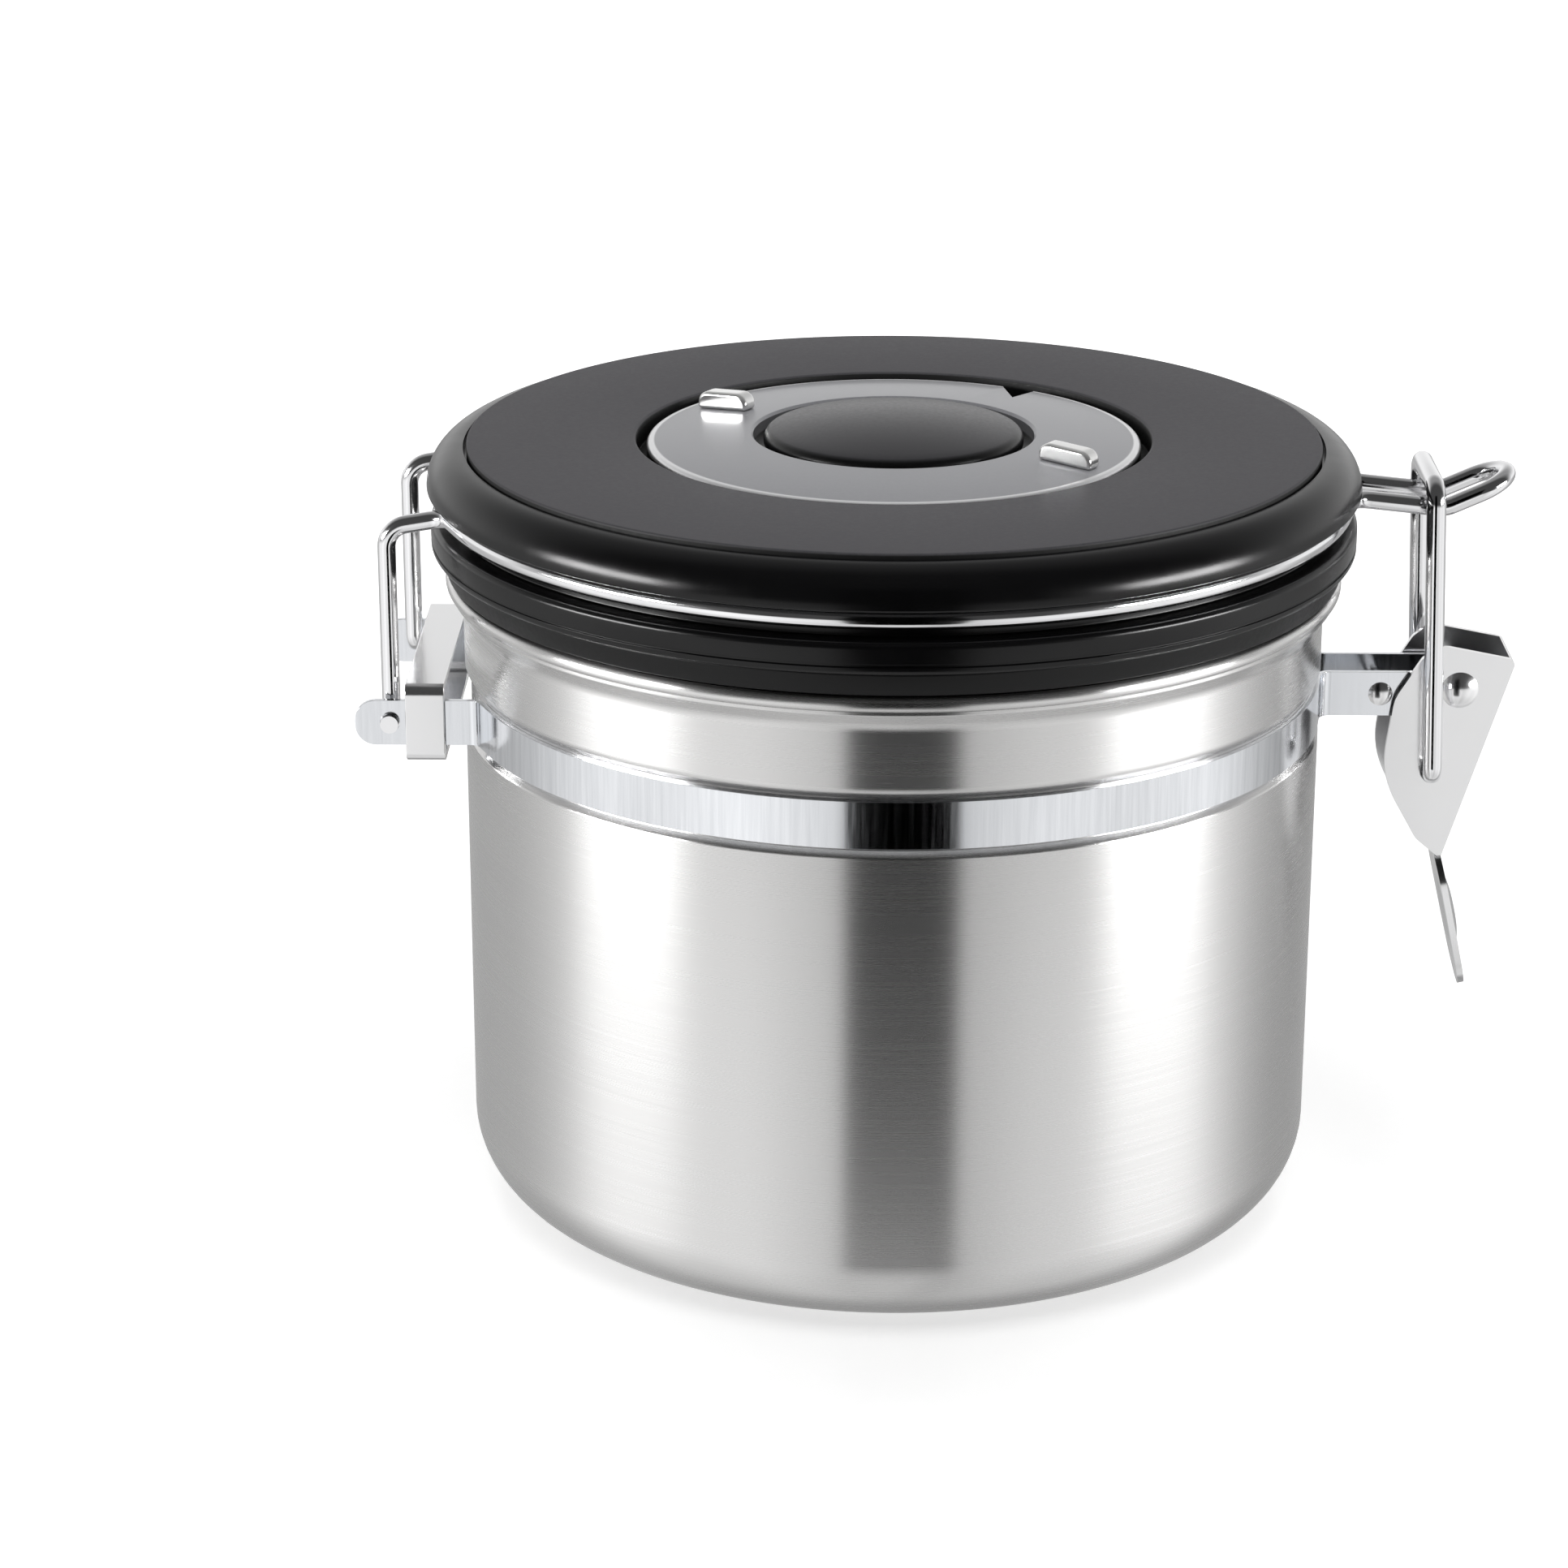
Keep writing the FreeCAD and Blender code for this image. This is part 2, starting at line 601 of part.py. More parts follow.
# Valve cap: a crowned disc with a round shoulder on a slotted hub, and a spigot into the valve housing
spigot_radius = valve_bore_radius - part_fit
spigot_low_z = valve_top_z - spigot_engage
cap_low_face_z = cap_low_z + cap_rim - cap_plate / 2
hub_inner = cap_hub_radius - cap_hub_wall
crown_sag = (cap_radius ** 2 + cap_rise ** 2) / (2 * cap_rise)
crown_half = cap_radius / 2
crown_middle = Vector(crown_half, 0, cap_top_z - crown_sag + math.sqrt(crown_sag ** 2 - crown_half ** 2))
crown_start = Vector(0, 0, cap_top_z)
crown_end = Vector(cap_radius, 0, cap_rim_z)
cap_outline = [(cap_radius, cap_rim_z), (cap_radius, cap_low_z), (cap_hub_radius, cap_low_z),
               (cap_hub_radius, well_floor_z + part_fit), (hub_inner, well_floor_z + part_fit),
               (hub_inner, cap_low_face_z), (spigot_radius, cap_low_face_z),
               (spigot_radius, spigot_low_z), (spigot_radius - spigot_wall, spigot_low_z),
               (spigot_radius - spigot_wall, cap_low_face_z), (0, cap_low_face_z)]
cap_corners = [Vector(radius, 0, height) for radius, height in cap_outline]
cap_edges = [Part.Arc(crown_start, crown_middle, crown_end).toShape()]
cap_edges += bent_edges(cap_corners, [0] * len(cap_corners))
cap_edges.append(Part.makeLine(cap_corners[-1], crown_start))
valve_cap = Part.Face(Part.Wire(cap_edges)).revolve(origin, axis_z, 360)
cap_rim_edges = [edge for edge in valve_cap.Edges
                 if abs(edge.BoundBox.ZMin - cap_rim_z) < part_fit and edge.BoundBox.ZLength < part_fit]
valve_cap = valve_cap.makeFillet(cap_shoulder, cap_rim_edges)
vent_height = cap_low_z - well_floor_z
vent_length = (cap_hub_radius + overrun) * 2
for turn in (0, 90):
    vent_corner = Vector(-vent_length / 2, -cap_vent_width / 2, well_floor_z - overrun)
    vent = Part.makeBox(vent_length, cap_vent_width, vent_height + overrun, vent_corner)
    vent.rotate(origin, axis_z, turn)
    valve_cap = valve_cap.cut(vent)

# Valve housing: flanged tube with a drilled seat and the post that guides the disc
valve_housing = turned(
    [(0, seat_low_z), (valve_bore_radius, seat_low_z), (valve_bore_radius, valve_low_z),
     (valve_flange_radius, valve_low_z), (valve_flange_radius, valve_flange_top_z),
     (valve_tube_radius, valve_flange_top_z), (valve_tube_radius, valve_top_z),
     (valve_bore_radius, valve_top_z), (valve_bore_radius, seat_top_z),
     (guide_radius, seat_top_z), (guide_radius, seat_top_z + guide_height), (0, seat_top_z + guide_height)])
for hole in hole_ring(seat_hole_radius, seat_hole_circle, seat_hole_count,
                      seat_low_z - overrun, seat_top_z + overrun):
    valve_housing = valve_housing.cut(hole)
disc_low_z = seat_top_z + disc_seat_gap
disc_top_z = disc_low_z + disc_thickness
disc_bore_radius = guide_radius + disc_bore_play
valve_disc = turned([(disc_bore_radius, disc_low_z), (disc_radius, disc_low_z), (disc_radius, disc_top_z),
                     (disc_bore_radius, disc_top_z)])
valve_gasket = turned(
    [(valve_tube_radius + part_fit, valve_flange_top_z + part_fit),
     (valve_flange_radius - gasket_inset, valve_flange_top_z + part_fit),
     (valve_flange_radius - gasket_inset, flange_low_z - part_fit),
     (valve_tube_radius + part_fit, flange_low_z - part_fit)])
guard_radius = valve_bore_radius - part_fit
valve_guard = Part.makeCylinder(guard_radius, guard_thickness, Vector(0, 0, valve_low_z), axis_z)
guard_holes = hole_ring(guard_hole_radius, guard_circle, guard_count,
                        valve_low_z - overrun, valve_low_z + guard_thickness + overrun)
guard_holes += hole_ring(guard_hole_radius, guard_circle / 2, guard_inner_count,
                         valve_low_z - overrun, valve_low_z + guard_thickness + overrun)
for hole in guard_holes:
    valve_guard = valve_guard.cut(hole)

# Latch lever: a folded channel, open towards the pot, with a dished thumb tab
cheek_points = [(pivot_x + along * cheek_size, pivot_z + rise * cheek_size)
                for along, rise in cheek_outline_shares]
cheek_radii = [share * cheek_size for share in cheek_corner_shares]
latch_lever = upright(cheek_points, cheek_radii, cheek_outer_y)
web_top = Vector(cheek_points[2][0], 0, cheek_points[2][1])
web_foot = Vector(cheek_points[3][0], 0, cheek_points[3][1])
web_down = unit(web_foot - web_top)
web_inward = Vector(web_down.z, 0, -web_down.x)
inside_high = web_top + web_inward * lever_sheet - web_down * cheek_size
inside_low = web_foot + web_inward * lever_sheet + web_down * cheek_size
far_high = inside_high + web_inward * (cheek_size * 2)
far_low = inside_low + web_inward * (cheek_size * 2)
hollow_points = [(point.x, point.z) for point in (inside_high, inside_low, far_low, far_high)]
latch_lever = latch_lever.cut(upright(hollow_points, [0] * len(hollow_points), cheek_inner_y))
tab_turn = math.radians(tab_angle)
tab_down = Vector(math.sin(tab_turn), 0, -math.cos(tab_turn))
tab_inward = Vector(tab_down.z, 0, -tab_down.x)
tab_tip = web_foot + tab_down * tab_length
tab_upper = web_foot - web_down * (tab_bend_radius * 2)
bend_half = (web_inward + tab_inward)
bend_inner = web_foot + unit(bend_half) * (lever_sheet / unit(bend_half).dot(tab_inward))
strip = [tab_upper, web_foot, tab_tip, tab_tip + tab_inward * lever_sheet, bend_inner,
         tab_upper + web_inward * lever_sheet]
strip_points = [(point.x, point.z) for point in strip]
strip_radii = [0, tab_bend_radius, 0, 0, tab_bend_radius + lever_sheet, 0]
tab_strip = upright(strip_points, strip_radii, tab_half_width)
shoulder_z = web_foot.z - tab_length * tab_shoulder_share
plan_low_z = tab_tip.z
tip_half = tab_half_width * tab_tip_share
shoulder_corner = tab_half_width * tab_shoulder_corner_share
tip_corner = tab_half_width * tab_tip_corner_share
plan_points = [(-cheek_outer_y, tab_upper.z + overrun), (cheek_outer_y, tab_upper.z + overrun),
               (tab_neck_half, web_foot.z), (tab_half_width, shoulder_z), (tip_half, plan_low_z),
               (-tip_half, plan_low_z), (-tab_half_width, shoulder_z), (-tab_neck_half, web_foot.z)]
plan_radii = [0, 0, tab_half_width, shoulder_corner, tip_corner, tip_corner, shoulder_corner,
              tab_half_width]
plan_x = web_foot.x - cheek_size
plan_corners = [Vector(plan_x, y, z) for y, z in plan_points]
plan_face = Part.Face(Part.Wire(bent_edges(plan_corners, plan_radii, closed=True)))
tab = tab_strip.common(plan_face.extrude(Vector(cheek_size * 2, 0, 0)))
dish_middle = web_foot + tab_down * (tab_length * tab_dish_share)


def dish_block(length, width, foot, height):
    ellipse = Part.Ellipse(foot + tab_down * (length / 2), foot + axis_y * (width / 2), foot)
    face = Part.Face(Part.Wire([ellipse.toShape()]))
    return face.extrude(tab_inward * height)


bump = dish_block(tab_dish_length, tab_dish_width, dish_middle - tab_inward * tab_dish_depth,
                  tab_dish_depth + lever_sheet / 2)
hollow_inset = lever_sheet
hollow = dish_block(tab_dish_length - hollow_inset, tab_dish_width - hollow_inset,
                    dish_middle + tab_inward * (lever_sheet - tab_dish_depth), tab_dish_depth + overrun)
tab = tab.fuse(bump).cut(hollow)
latch_lever = latch_lever.fuse(tab).removeSplitter()
latch_lever = latch_lever.cut(cylinder_y(pivot_radius + part_fit, pivot_x, pivot_z,
                                         -cheek_outer_y - overrun, cheek_outer_y + overrun))
latch_lever = latch_lever.cut(cylinder_y(bail_radius + pin_play, bail_hole_x, bail_hole_z,
                                         -cheek_outer_y - overrun, cheek_outer_y + overrun))

# Pivot pin through both ears and cheeks, closed with domed heads
lever_pivot_pin = headed_pin(pivot_radius, cheek_outer_y + part_fit, pivot_head_radius,
                             pivot_head_height, pivot_x, pivot_z)

# Latch bail: hook, leg, crossbar over the lid's tail, leg and hook
bail_run = [Vector(bail_hole_x, -(cheek_inner_y - bail_hook_inside), bail_hole_z),
            Vector(bail_hole_x, -bail_half, bail_hole_z),
            Vector(bail_top_x, -bail_half, bail_top_z)]
bail_points = bail_run + [flip_y(point) for point in bail_run[::-1]]
bail_radii = [0, hook_bend_radius, bail_bend_radius, bail_bend_radius, hook_bend_radius, 0]
latch_bail = round_sweep(bent_edges(bail_points, bail_radii), bail_radius, bail_run[0], axis_y)

pieces = {
    "canister_body": canister_body,
    "clamp_band_front": clamp_band_front,
    "clamp_band_rear": clamp_band_rear,
    "hinge_clip": hinge_clip,
    "latch_ear_rivet": latch_ear_rivet,
    "lid_wire": lid_wire,
    "lid_base": lid_base,
    "seal_retainer": seal_retainer,
    "lid_seal": lid_seal,
    "lid_cover": lid_cover,
    "lid_top_plate": lid_top_plate,
    "date_dial": date_dial,
    "dial_grips": dial_grips,
    "valve_cap": valve_cap,
    "valve_housing": valve_housing,
    "valve_disc": valve_disc,
    "valve_gasket": valve_gasket,
    "valve_guard": valve_guard,
    "latch_lever": latch_lever,
    "lever_pivot_pin": lever_pivot_pin,
    "latch_bail": latch_bail,
}
os.makedirs("parts", exist_ok=True)
for name, shape in pieces.items():
    shape.exportStep("parts/" + name + ".step")
    print(name, shape.isValid(), len(shape.Solids), round(shape.Volume))
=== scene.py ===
import json
import math

import bmesh
import bpy
from mathutils import Matrix, Vector


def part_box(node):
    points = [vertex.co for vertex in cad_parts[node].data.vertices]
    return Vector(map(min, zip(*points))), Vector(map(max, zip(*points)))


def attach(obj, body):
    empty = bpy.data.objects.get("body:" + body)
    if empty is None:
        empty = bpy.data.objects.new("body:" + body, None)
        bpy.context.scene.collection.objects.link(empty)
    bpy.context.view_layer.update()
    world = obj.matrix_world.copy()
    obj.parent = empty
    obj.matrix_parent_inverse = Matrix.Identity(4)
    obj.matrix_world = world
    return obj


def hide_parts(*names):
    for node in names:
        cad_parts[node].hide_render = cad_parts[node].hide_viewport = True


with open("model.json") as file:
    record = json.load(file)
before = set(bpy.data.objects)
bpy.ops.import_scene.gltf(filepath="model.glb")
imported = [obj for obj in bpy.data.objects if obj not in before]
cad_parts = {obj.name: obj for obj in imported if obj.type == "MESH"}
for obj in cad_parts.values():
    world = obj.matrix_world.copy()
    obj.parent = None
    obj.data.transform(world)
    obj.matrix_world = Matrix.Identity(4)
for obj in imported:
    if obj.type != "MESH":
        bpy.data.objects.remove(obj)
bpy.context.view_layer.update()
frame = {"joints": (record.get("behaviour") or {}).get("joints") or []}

mm = 0.001  # sizes below are written in millimetres
fitGap = 0.02  # between pieces that fit together
scene = bpy.context.scene


def boxOf(node):
    low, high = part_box(node)
    return low / mm, high / mm


# Small helpers for node trees, meshes and modifiers

def addNode(tree, kind, inputs=None, **settings):
    # each input is linked to another node's socket or set to a plain value
    node = tree.nodes.new(kind)
    for name, value in settings.items():
        setattr(node, name, value)
    for name, value in (inputs or {}).items():
        if isinstance(value, bpy.types.NodeSocket):
            tree.links.new(value, node.inputs[name])
        else:
            node.inputs[name].default_value = value
    return node


def newTree(name, sizes):
    tree = bpy.data.node_groups.new(name, "GeometryNodeTree")
    addSocket = tree.interface.new_socket
    addSocket(name="Outline", in_out="INPUT", socket_type="NodeSocketGeometry")
    for label, value in sizes.items():
        kind = "NodeSocketInt" if isinstance(value, int) else "NodeSocketFloat"
        addSocket(name=label, in_out="INPUT", socket_type=kind).default_value = value
    addSocket(name="Finish", in_out="INPUT", socket_type="NodeSocketMaterial")
    addSocket(name="Piece", in_out="OUTPUT", socket_type="NodeSocketGeometry")
    return tree, addNode(tree, "NodeGroupInput").outputs


def endTree(tree, given, geometry):
    # every tree ends in Realize Instances and Set Material
    realize = addNode(tree, "GeometryNodeRealizeInstances", {"Geometry": geometry})
    finish = addNode(tree, "GeometryNodeSetMaterial", {
        "Geometry": realize.outputs["Geometry"], "Material": given["Finish"]})
    addNode(tree, "NodeGroupOutput", {"Piece": finish.outputs["Geometry"]})
    return tree


def roundedCurve(tree, given):
    # outline edges become a curve, each corner rounded by its own radius
    toCurve = addNode(tree, "GeometryNodeMeshToCurve", {"Mesh": given["Outline"]})
    radius = addNode(tree, "GeometryNodeInputNamedAttribute", {"Name": "cornerRadius"}, data_type="FLOAT")
    steps = addNode(tree, "GeometryNodeInputNamedAttribute", {"Name": "cornerSteps"}, data_type="INT")
    fillet = addNode(tree, "GeometryNodeFilletCurve", {
        "Curve": toCurve.outputs["Curve"], "Radius": radius.outputs["Attribute"],
        "Count": steps.outputs["Attribute"]}, mode="POLY")
    return fillet.outputs["Curve"]


def makeLatheTree():
    tree, given = newTree("latheTurning", {"Path Radius": 0.05, "Segments": 192})
    path = addNode(tree, "GeometryNodeCurvePrimitiveCircle", {
        "Radius": given["Path Radius"], "Resolution": given["Segments"]})
    upright = addNode(tree, "GeometryNodeSetCurveNormal", {"Curve": path.outputs["Curve"]}, mode="Z_UP")
    sweep = addNode(tree, "GeometryNodeCurveToMesh", {
        "Curve": upright.outputs["Curve"], "Profile Curve": roundedCurve(tree, given)})
    return endTree(tree, given, sweep.outputs["Mesh"])


def makeWireTree():
    tree, given = newTree("bentWire", {"Wire Radius": 0.001, "Sides": 20})
    section = addNode(tree, "GeometryNodeCurvePrimitiveCircle", {
        "Radius": given["Wire Radius"], "Resolution": given["Sides"]})
    sweep = addNode(tree, "GeometryNodeCurveToMesh", {
        "Curve": roundedCurve(tree, given), "Profile Curve": section.outputs["Curve"], "Fill Caps": True})
    return endTree(tree, given, sweep.outputs["Mesh"])


def makePlateTree():
    # closed outlines in one plane, filled and made solid to the given thickness
    tree, given = newTree("pressedPlate", {"Thickness": 0.001})
    fill = addNode(tree, "GeometryNodeFillCurve", {"Curve": roundedCurve(tree, given)}, mode="NGONS")
    upward = addNode(tree, "ShaderNodeCombineXYZ", {"Z": 1})
    extrude = addNode(tree, "GeometryNodeExtrudeMesh", {
        "Mesh": fill.outputs["Mesh"], "Offset": upward.outputs["Vector"], "Offset Scale": given["Thickness"],
        "Individual": False})
    back = addNode(tree, "GeometryNodeFlipFaces", {"Mesh": fill.outputs["Mesh"]})
    both = addNode(tree, "GeometryNodeJoinGeometry", {"Geometry": extrude.outputs["Mesh"]})
    tree.links.new(back.outputs["Mesh"], both.inputs["Geometry"])
    weld = addNode(tree, "GeometryNodeMergeByDistance", {"Geometry": both.outputs["Geometry"], "Distance": 1e-6})
    return endTree(tree, given, weld.outputs["Geometry"])


def makeDrillTree():
    # a ring of equal holes drilled through a piece along Z
    tree, given = newTree("drilledRing", {"Hole Radius": 0.001, "Ring Radius": 0.005, "Holes": 6,
                                          "Drill Height": 0.1, "Drill Length": 0.01})
    ring = addNode(tree, "GeometryNodeMeshCircle", {"Radius": given["Ring Radius"], "Vertices": given["Holes"]})
    height = addNode(tree, "ShaderNodeCombineXYZ", {"Z": given["Drill Height"]})
    lift = addNode(tree, "GeometryNodeTransform", {
        "Geometry": ring.outputs["Mesh"], "Translation": height.outputs["Vector"]})
    drill = addNode(tree, "GeometryNodeMeshCylinder", {
        "Vertices": 28, "Radius": given["Hole Radius"], "Depth": given["Drill Length"]})
    copies = addNode(tree, "GeometryNodeInstanceOnPoints", {
        "Points": lift.outputs["Geometry"], "Instance": drill.outputs["Mesh"]})
    solid = addNode(tree, "GeometryNodeRealizeInstances", {"Geometry": copies.outputs["Instances"]})
    cut = addNode(tree, "GeometryNodeMeshBoolean", {
        "Mesh 1": given["Outline"], "Mesh 2": solid.outputs["Geometry"]}, operation="DIFFERENCE")
    return endTree(tree, given, cut.outputs["Mesh"])


def newObject(name, data):
    made = bpy.data.objects.new(name, data)
    scene.collection.objects.link(made)
    return made


def meshObject(name, verts, faces, finish):
    mesh = bpy.data.meshes.new(name)
    mesh.from_pydata(verts, [], faces)
    mesh.materials.append(finish)
    return newObject(name, mesh)


def outlineObject(name, loops, closed=True):
    # loops of (point, corner radius, steps), all in millimetres
    points, edges, radii, steps = [], [], [], []
    for loop in loops:
        first = len(points)
        count = len(loop)
        for point, radius, stepCount in loop:
            points.append(Vector(point) * mm)
            radii.append(radius * mm)
            steps.append(stepCount)
        edges += [(first + i, first + (i + 1) % count) for i in range(count if closed else count - 1)]
    mesh = bpy.data.meshes.new(name)
    mesh.from_pydata(points, edges, [])
    mesh.attributes.new("cornerRadius", "FLOAT", "POINT").data.foreach_set("value", radii)
    mesh.attributes.new("cornerSteps", "INT", "POINT").data.foreach_set("value", steps)
    return newObject(name, mesh)


def settle(piece):
    # the evaluated shape becomes the piece's own plain mesh
    bpy.context.view_layer.update()
    shape = piece.evaluated_get(bpy.context.evaluated_depsgraph_get())
    mesh = bpy.data.meshes.new_from_object(shape)
    piece.modifiers.clear()
    piece.data = mesh
    return piece


def weldMesh(mesh):
    work = bmesh.new()
    work.from_mesh(mesh)
    bmesh.ops.remove_doubles(work, verts=work.verts, dist=2e-6)
    bmesh.ops.dissolve_degenerate(work, edges=work.edges, dist=1e-6)
    bmesh.ops.recalc_face_normals(work, faces=work.faces)
    work.to_mesh(mesh)
    work.free()


def runTree(piece, tree, finish, sizes):
    modifier = piece.modifiers.new(tree.name, "NODES")
    modifier.node_group = tree
    given = {"Finish": finish, **sizes}
    for item in tree.interface.items_tree:
        if item.in_out == "INPUT" and item.name in given:
            modifier[item.identifier] = given[item.name]
    settle(piece)
    weldMesh(piece.data)
    for layer in ("cornerRadius", "cornerSteps"):
        if layer in piece.data.attributes:
            piece.data.attributes.remove(piece.data.attributes[layer])
    return piece


def combine(piece, other, operation):
    modifier = piece.modifiers.new(operation.lower(), "BOOLEAN")
    modifier.operation = operation
    modifier.object = other
    modifier.solver = "EXACT"
    settle(piece)
    bpy.data.objects.remove(other)
    weldMesh(piece.data)
    return piece


def softenEdges(piece, width, segments=3, angle=30):
    bevel = piece.modifiers.new("softEdges", "BEVEL")
    bevel.width = width * mm
    bevel.segments = segments
    bevel.limit_method = "ANGLE"
    bevel.angle_limit = math.radians(angle)
    bevel.miter_outer = "MITER_ARC"
    settle(piece)
    weldMesh(piece.data)
    return piece


def shade(piece, angle=32, flat=False):
    piece.data.shade_smooth()
    piece.data.set_sharp_from_angle(angle=math.radians(angle))
    if flat:
        # big faces keep their own normals up to the soft edges
        normals = piece.modifiers.new("flatFaces", "WEIGHTED_NORMAL")
        normals.weight = 100
        normals.keep_sharp = True
        settle(piece)
    return piece


def place(piece, body, slot, *nodes):
    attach(piece, body)
    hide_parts(*nodes)
    return piece


def turnedPiece(name, profile, finish, segments=192, angle=32):
    # profile corners are (radius, height, corner radius) in millimetres
    pathRadius = max(corner[0] for corner in profile) / 2
    loop = []
    for radius, height, corner in profile:
        steps = 14 if corner > 4 else 7
        loop.append(((radius - pathRadius, -height, 0), corner, steps if corner else 1))
    piece = outlineObject(name, [loop])
    runTree(piece, latheTree, finish, {"Path Radius": pathRadius * mm, "Segments": segments})
    return shade(piece, angle)


def pressedPiece(name, loops, finish, thickness):
    return runTree(outlineObject(name, loops), plateTree, finish, {"Thickness": thickness * mm})


def wirePiece(name, run, radius):
    # half a run and its mirror image, with softened ends
    back = [((x, -y, z), corner, steps) for (x, y, z), corner, steps in run[::-1]]
    piece = outlineObject(name, [run + back], closed=False)
    runTree(piece, wireTree, polishedSteel, {"Wire Radius": radius * mm, "Sides": 24})
    softenEdges(piece, 0.25, angle=60)
    return shade(piece, 45)


def drillRing(piece, finish, hole, ring, holes, height, length):
    runTree(piece, drillTree, finish, {"Hole Radius": hole * mm, "Ring Radius": ring * mm, "Holes": holes,
                                       "Drill Height": height * mm, "Drill Length": length * mm})


def drillAcross(piece, radius, at, reach):
    # a round hole along Y through a point
    work = bmesh.new()
    along = Matrix.Translation(Vector((at.x, 0, at.z)) * mm) @ Matrix.Rotation(math.pi / 2, 4, "X")
    bmesh.ops.create_cone(work, cap_ends=True, segments=48, radius1=radius * mm, radius2=radius * mm,
                          depth=reach * 2 * mm, matrix=along)
    mesh = bpy.data.meshes.new("drill")
    work.to_mesh(mesh)
    work.free()
    combine(piece, newObject("drill", mesh), "DIFFERENCE")


latheTree = makeLatheTree()
wireTree = makeWireTree()
plateTree = makePlateTree()
drillTree = makeDrillTree()
print("trees ready:", len(bpy.data.node_groups))


# Finishes, each on Object coordinates

def newFinish(name, color, roughness, metallic=0.0):
    material = bpy.data.materials.new(name)
    material.use_nodes = True
    shader = material.node_tree.nodes["Principled BSDF"]
    shader.inputs["Base Color"].default_value = (*color, 1)
    shader.inputs["Roughness"].default_value = roughness
    shader.inputs["Metallic"].default_value = metallic
    return material, material.node_tree, shader


def ranged(tree, source, start, end, low, high, kind="LINEAR"):
    # low to high as the source goes from start to end
    step = addNode(tree, "ShaderNodeMapRange", {
        "Value": source, "From Min": start, "From Max": end, "To Min": low, "To Max": high}, interpolation_type=kind)
    return step.outputs["Result"]


def grain(tree, scale, detail=3, grit=0.55):
    coords = addNode(tree, "ShaderNodeTexCoord")
    stretch = addNode(tree, "ShaderNodeMapping", {"Vector": coords.outputs["Object"], "Scale": scale})
    noise = addNode(tree, "ShaderNodeTexNoise", {
        "Vector": stretch.outputs["Vector"], "Scale": 1, "Detail": detail, "Roughness": grit})
    return noise.outputs["Fac"]


grainRange = (0.3, 0.7)  # the middle of the noise, where most of it lies


def tint(tree, source, shader, color, vary):
    # a little darker and lighter than the colour, along the grain
    ramp = addNode(tree, "ShaderNodeValToRGB", {"Fac": source})
    for element, position, step in zip(ramp.color_ramp.elements, grainRange, (-vary, vary)):
        element.position = position
        element.color = (*(level + step for level in color), 1)
    tree.links.new(ramp.outputs["Color"], shader.inputs["Base Color"])


def relief(tree, source, shader, strength, depth):
    bump = addNode(tree, "ShaderNodeBump", {"Height": source, "Strength": strength, "Distance": depth * mm})
    tree.links.new(bump.outputs["Normal"], shader.inputs["Normal"])


def across(tree, kind, low, high):
    # 0 below low and 1 above high, by height or by distance from the axis, in millimetres
    coords = addNode(tree, "ShaderNodeTexCoord")
    axes = addNode(tree, "ShaderNodeSeparateXYZ", {"Vector": coords.outputs["Object"]}).outputs
    measure = axes["Z"]
    if kind == "radius":
        flat = addNode(tree, "ShaderNodeCombineXYZ", {"X": axes["X"], "Y": axes["Y"]})
        length = addNode(tree, "ShaderNodeVectorMath", {0: flat.outputs["Vector"]}, operation="LENGTH")
        measure = length.outputs["Value"]
    return ranged(tree, measure, low * mm, high * mm, 0, 1, "SMOOTHSTEP")


def recolor(tree, shader, mask, below=None, above=None):
    # the colour so far, and another where the mask is 0 (below) or 1 (above)
    target = shader.inputs["Base Color"]
    soFar = target.links[0].from_socket
    mix = addNode(tree, "ShaderNodeMix", {"Factor": mask, 6: below or soFar, 7: above or soFar}, data_type="RGBA")
    tree.links.new(mix.outputs[2], target)


def makeFinish(name, color, roughness, scale, detail=3, grit=0.55, vary=0, bump=None, metallic=0.0, levels=None):
    # one grain runs through roughness, colour and relief, and levels are plain values of the shader
    low, high = roughness
    material, tree, shader = newFinish(name, color, (low + high) / 2, metallic)
    lines = grain(tree, scale, detail, grit)
    tree.links.new(ranged(tree, lines, *grainRange, low, high), shader.inputs["Roughness"])
    if vary:
        tint(tree, lines, shader, color, vary)
    if bump:
        relief(tree, lines, shader, *bump)
    for socket, level in (levels or {}).items():
        shader.inputs[socket].default_value = level
    return material, tree, shader


# painted shade (black) and a painted highlight (light), used by the finishes below
paintedShadeBlack = (0.003, 0.003, 0.003, 1)
paintedRimHighlight = (0.95, 0.95, 0.96, 1)
paintedLightBounds = {"well": (35.66, 35.76), "plateFoot": (108.8, 109.05), "capFoot": (109.7, 110.3),
           "dialRim": (33.0, 33.3), "dialFoot": (107.7, 108.1)}  # radii and heights where shade and a highlight are painted

# fine lines run round the pot, longer than they are high
brushedSteel, tree, shader = makeFinish(
    "brushedSteel", (0.705, 0.70, 0.695), (0.26, 0.28), (12, 12, 3600), detail=4, grit=0.65, vary=0.01,
    bump=(0.006, 0.03), metallic=0.93, levels={"Anisotropic": 0.85, "Anisotropic Rotation": 0.25})
tangent = addNode(tree, "ShaderNodeTangent", direction_type="RADIAL", axis="Z")
tree.links.new(tangent.outputs["Tangent"], shader.inputs["Tangent"])

polishedSteel, tree, shader = makeFinish(
    "polishedSteel", (0.84, 0.84, 0.85), (0.09, 0.15), (160, 160, 160), detail=2, bump=(0.05, 0.2), metallic=1.0)

# rolled strip, with faint lines across it
stripSteel, tree, shader = makeFinish(
    "stripSteel", (0.745, 0.76, 0.785), (0.09, 0.17), (1500, 1500, 60), vary=0.055, metallic=1.0)

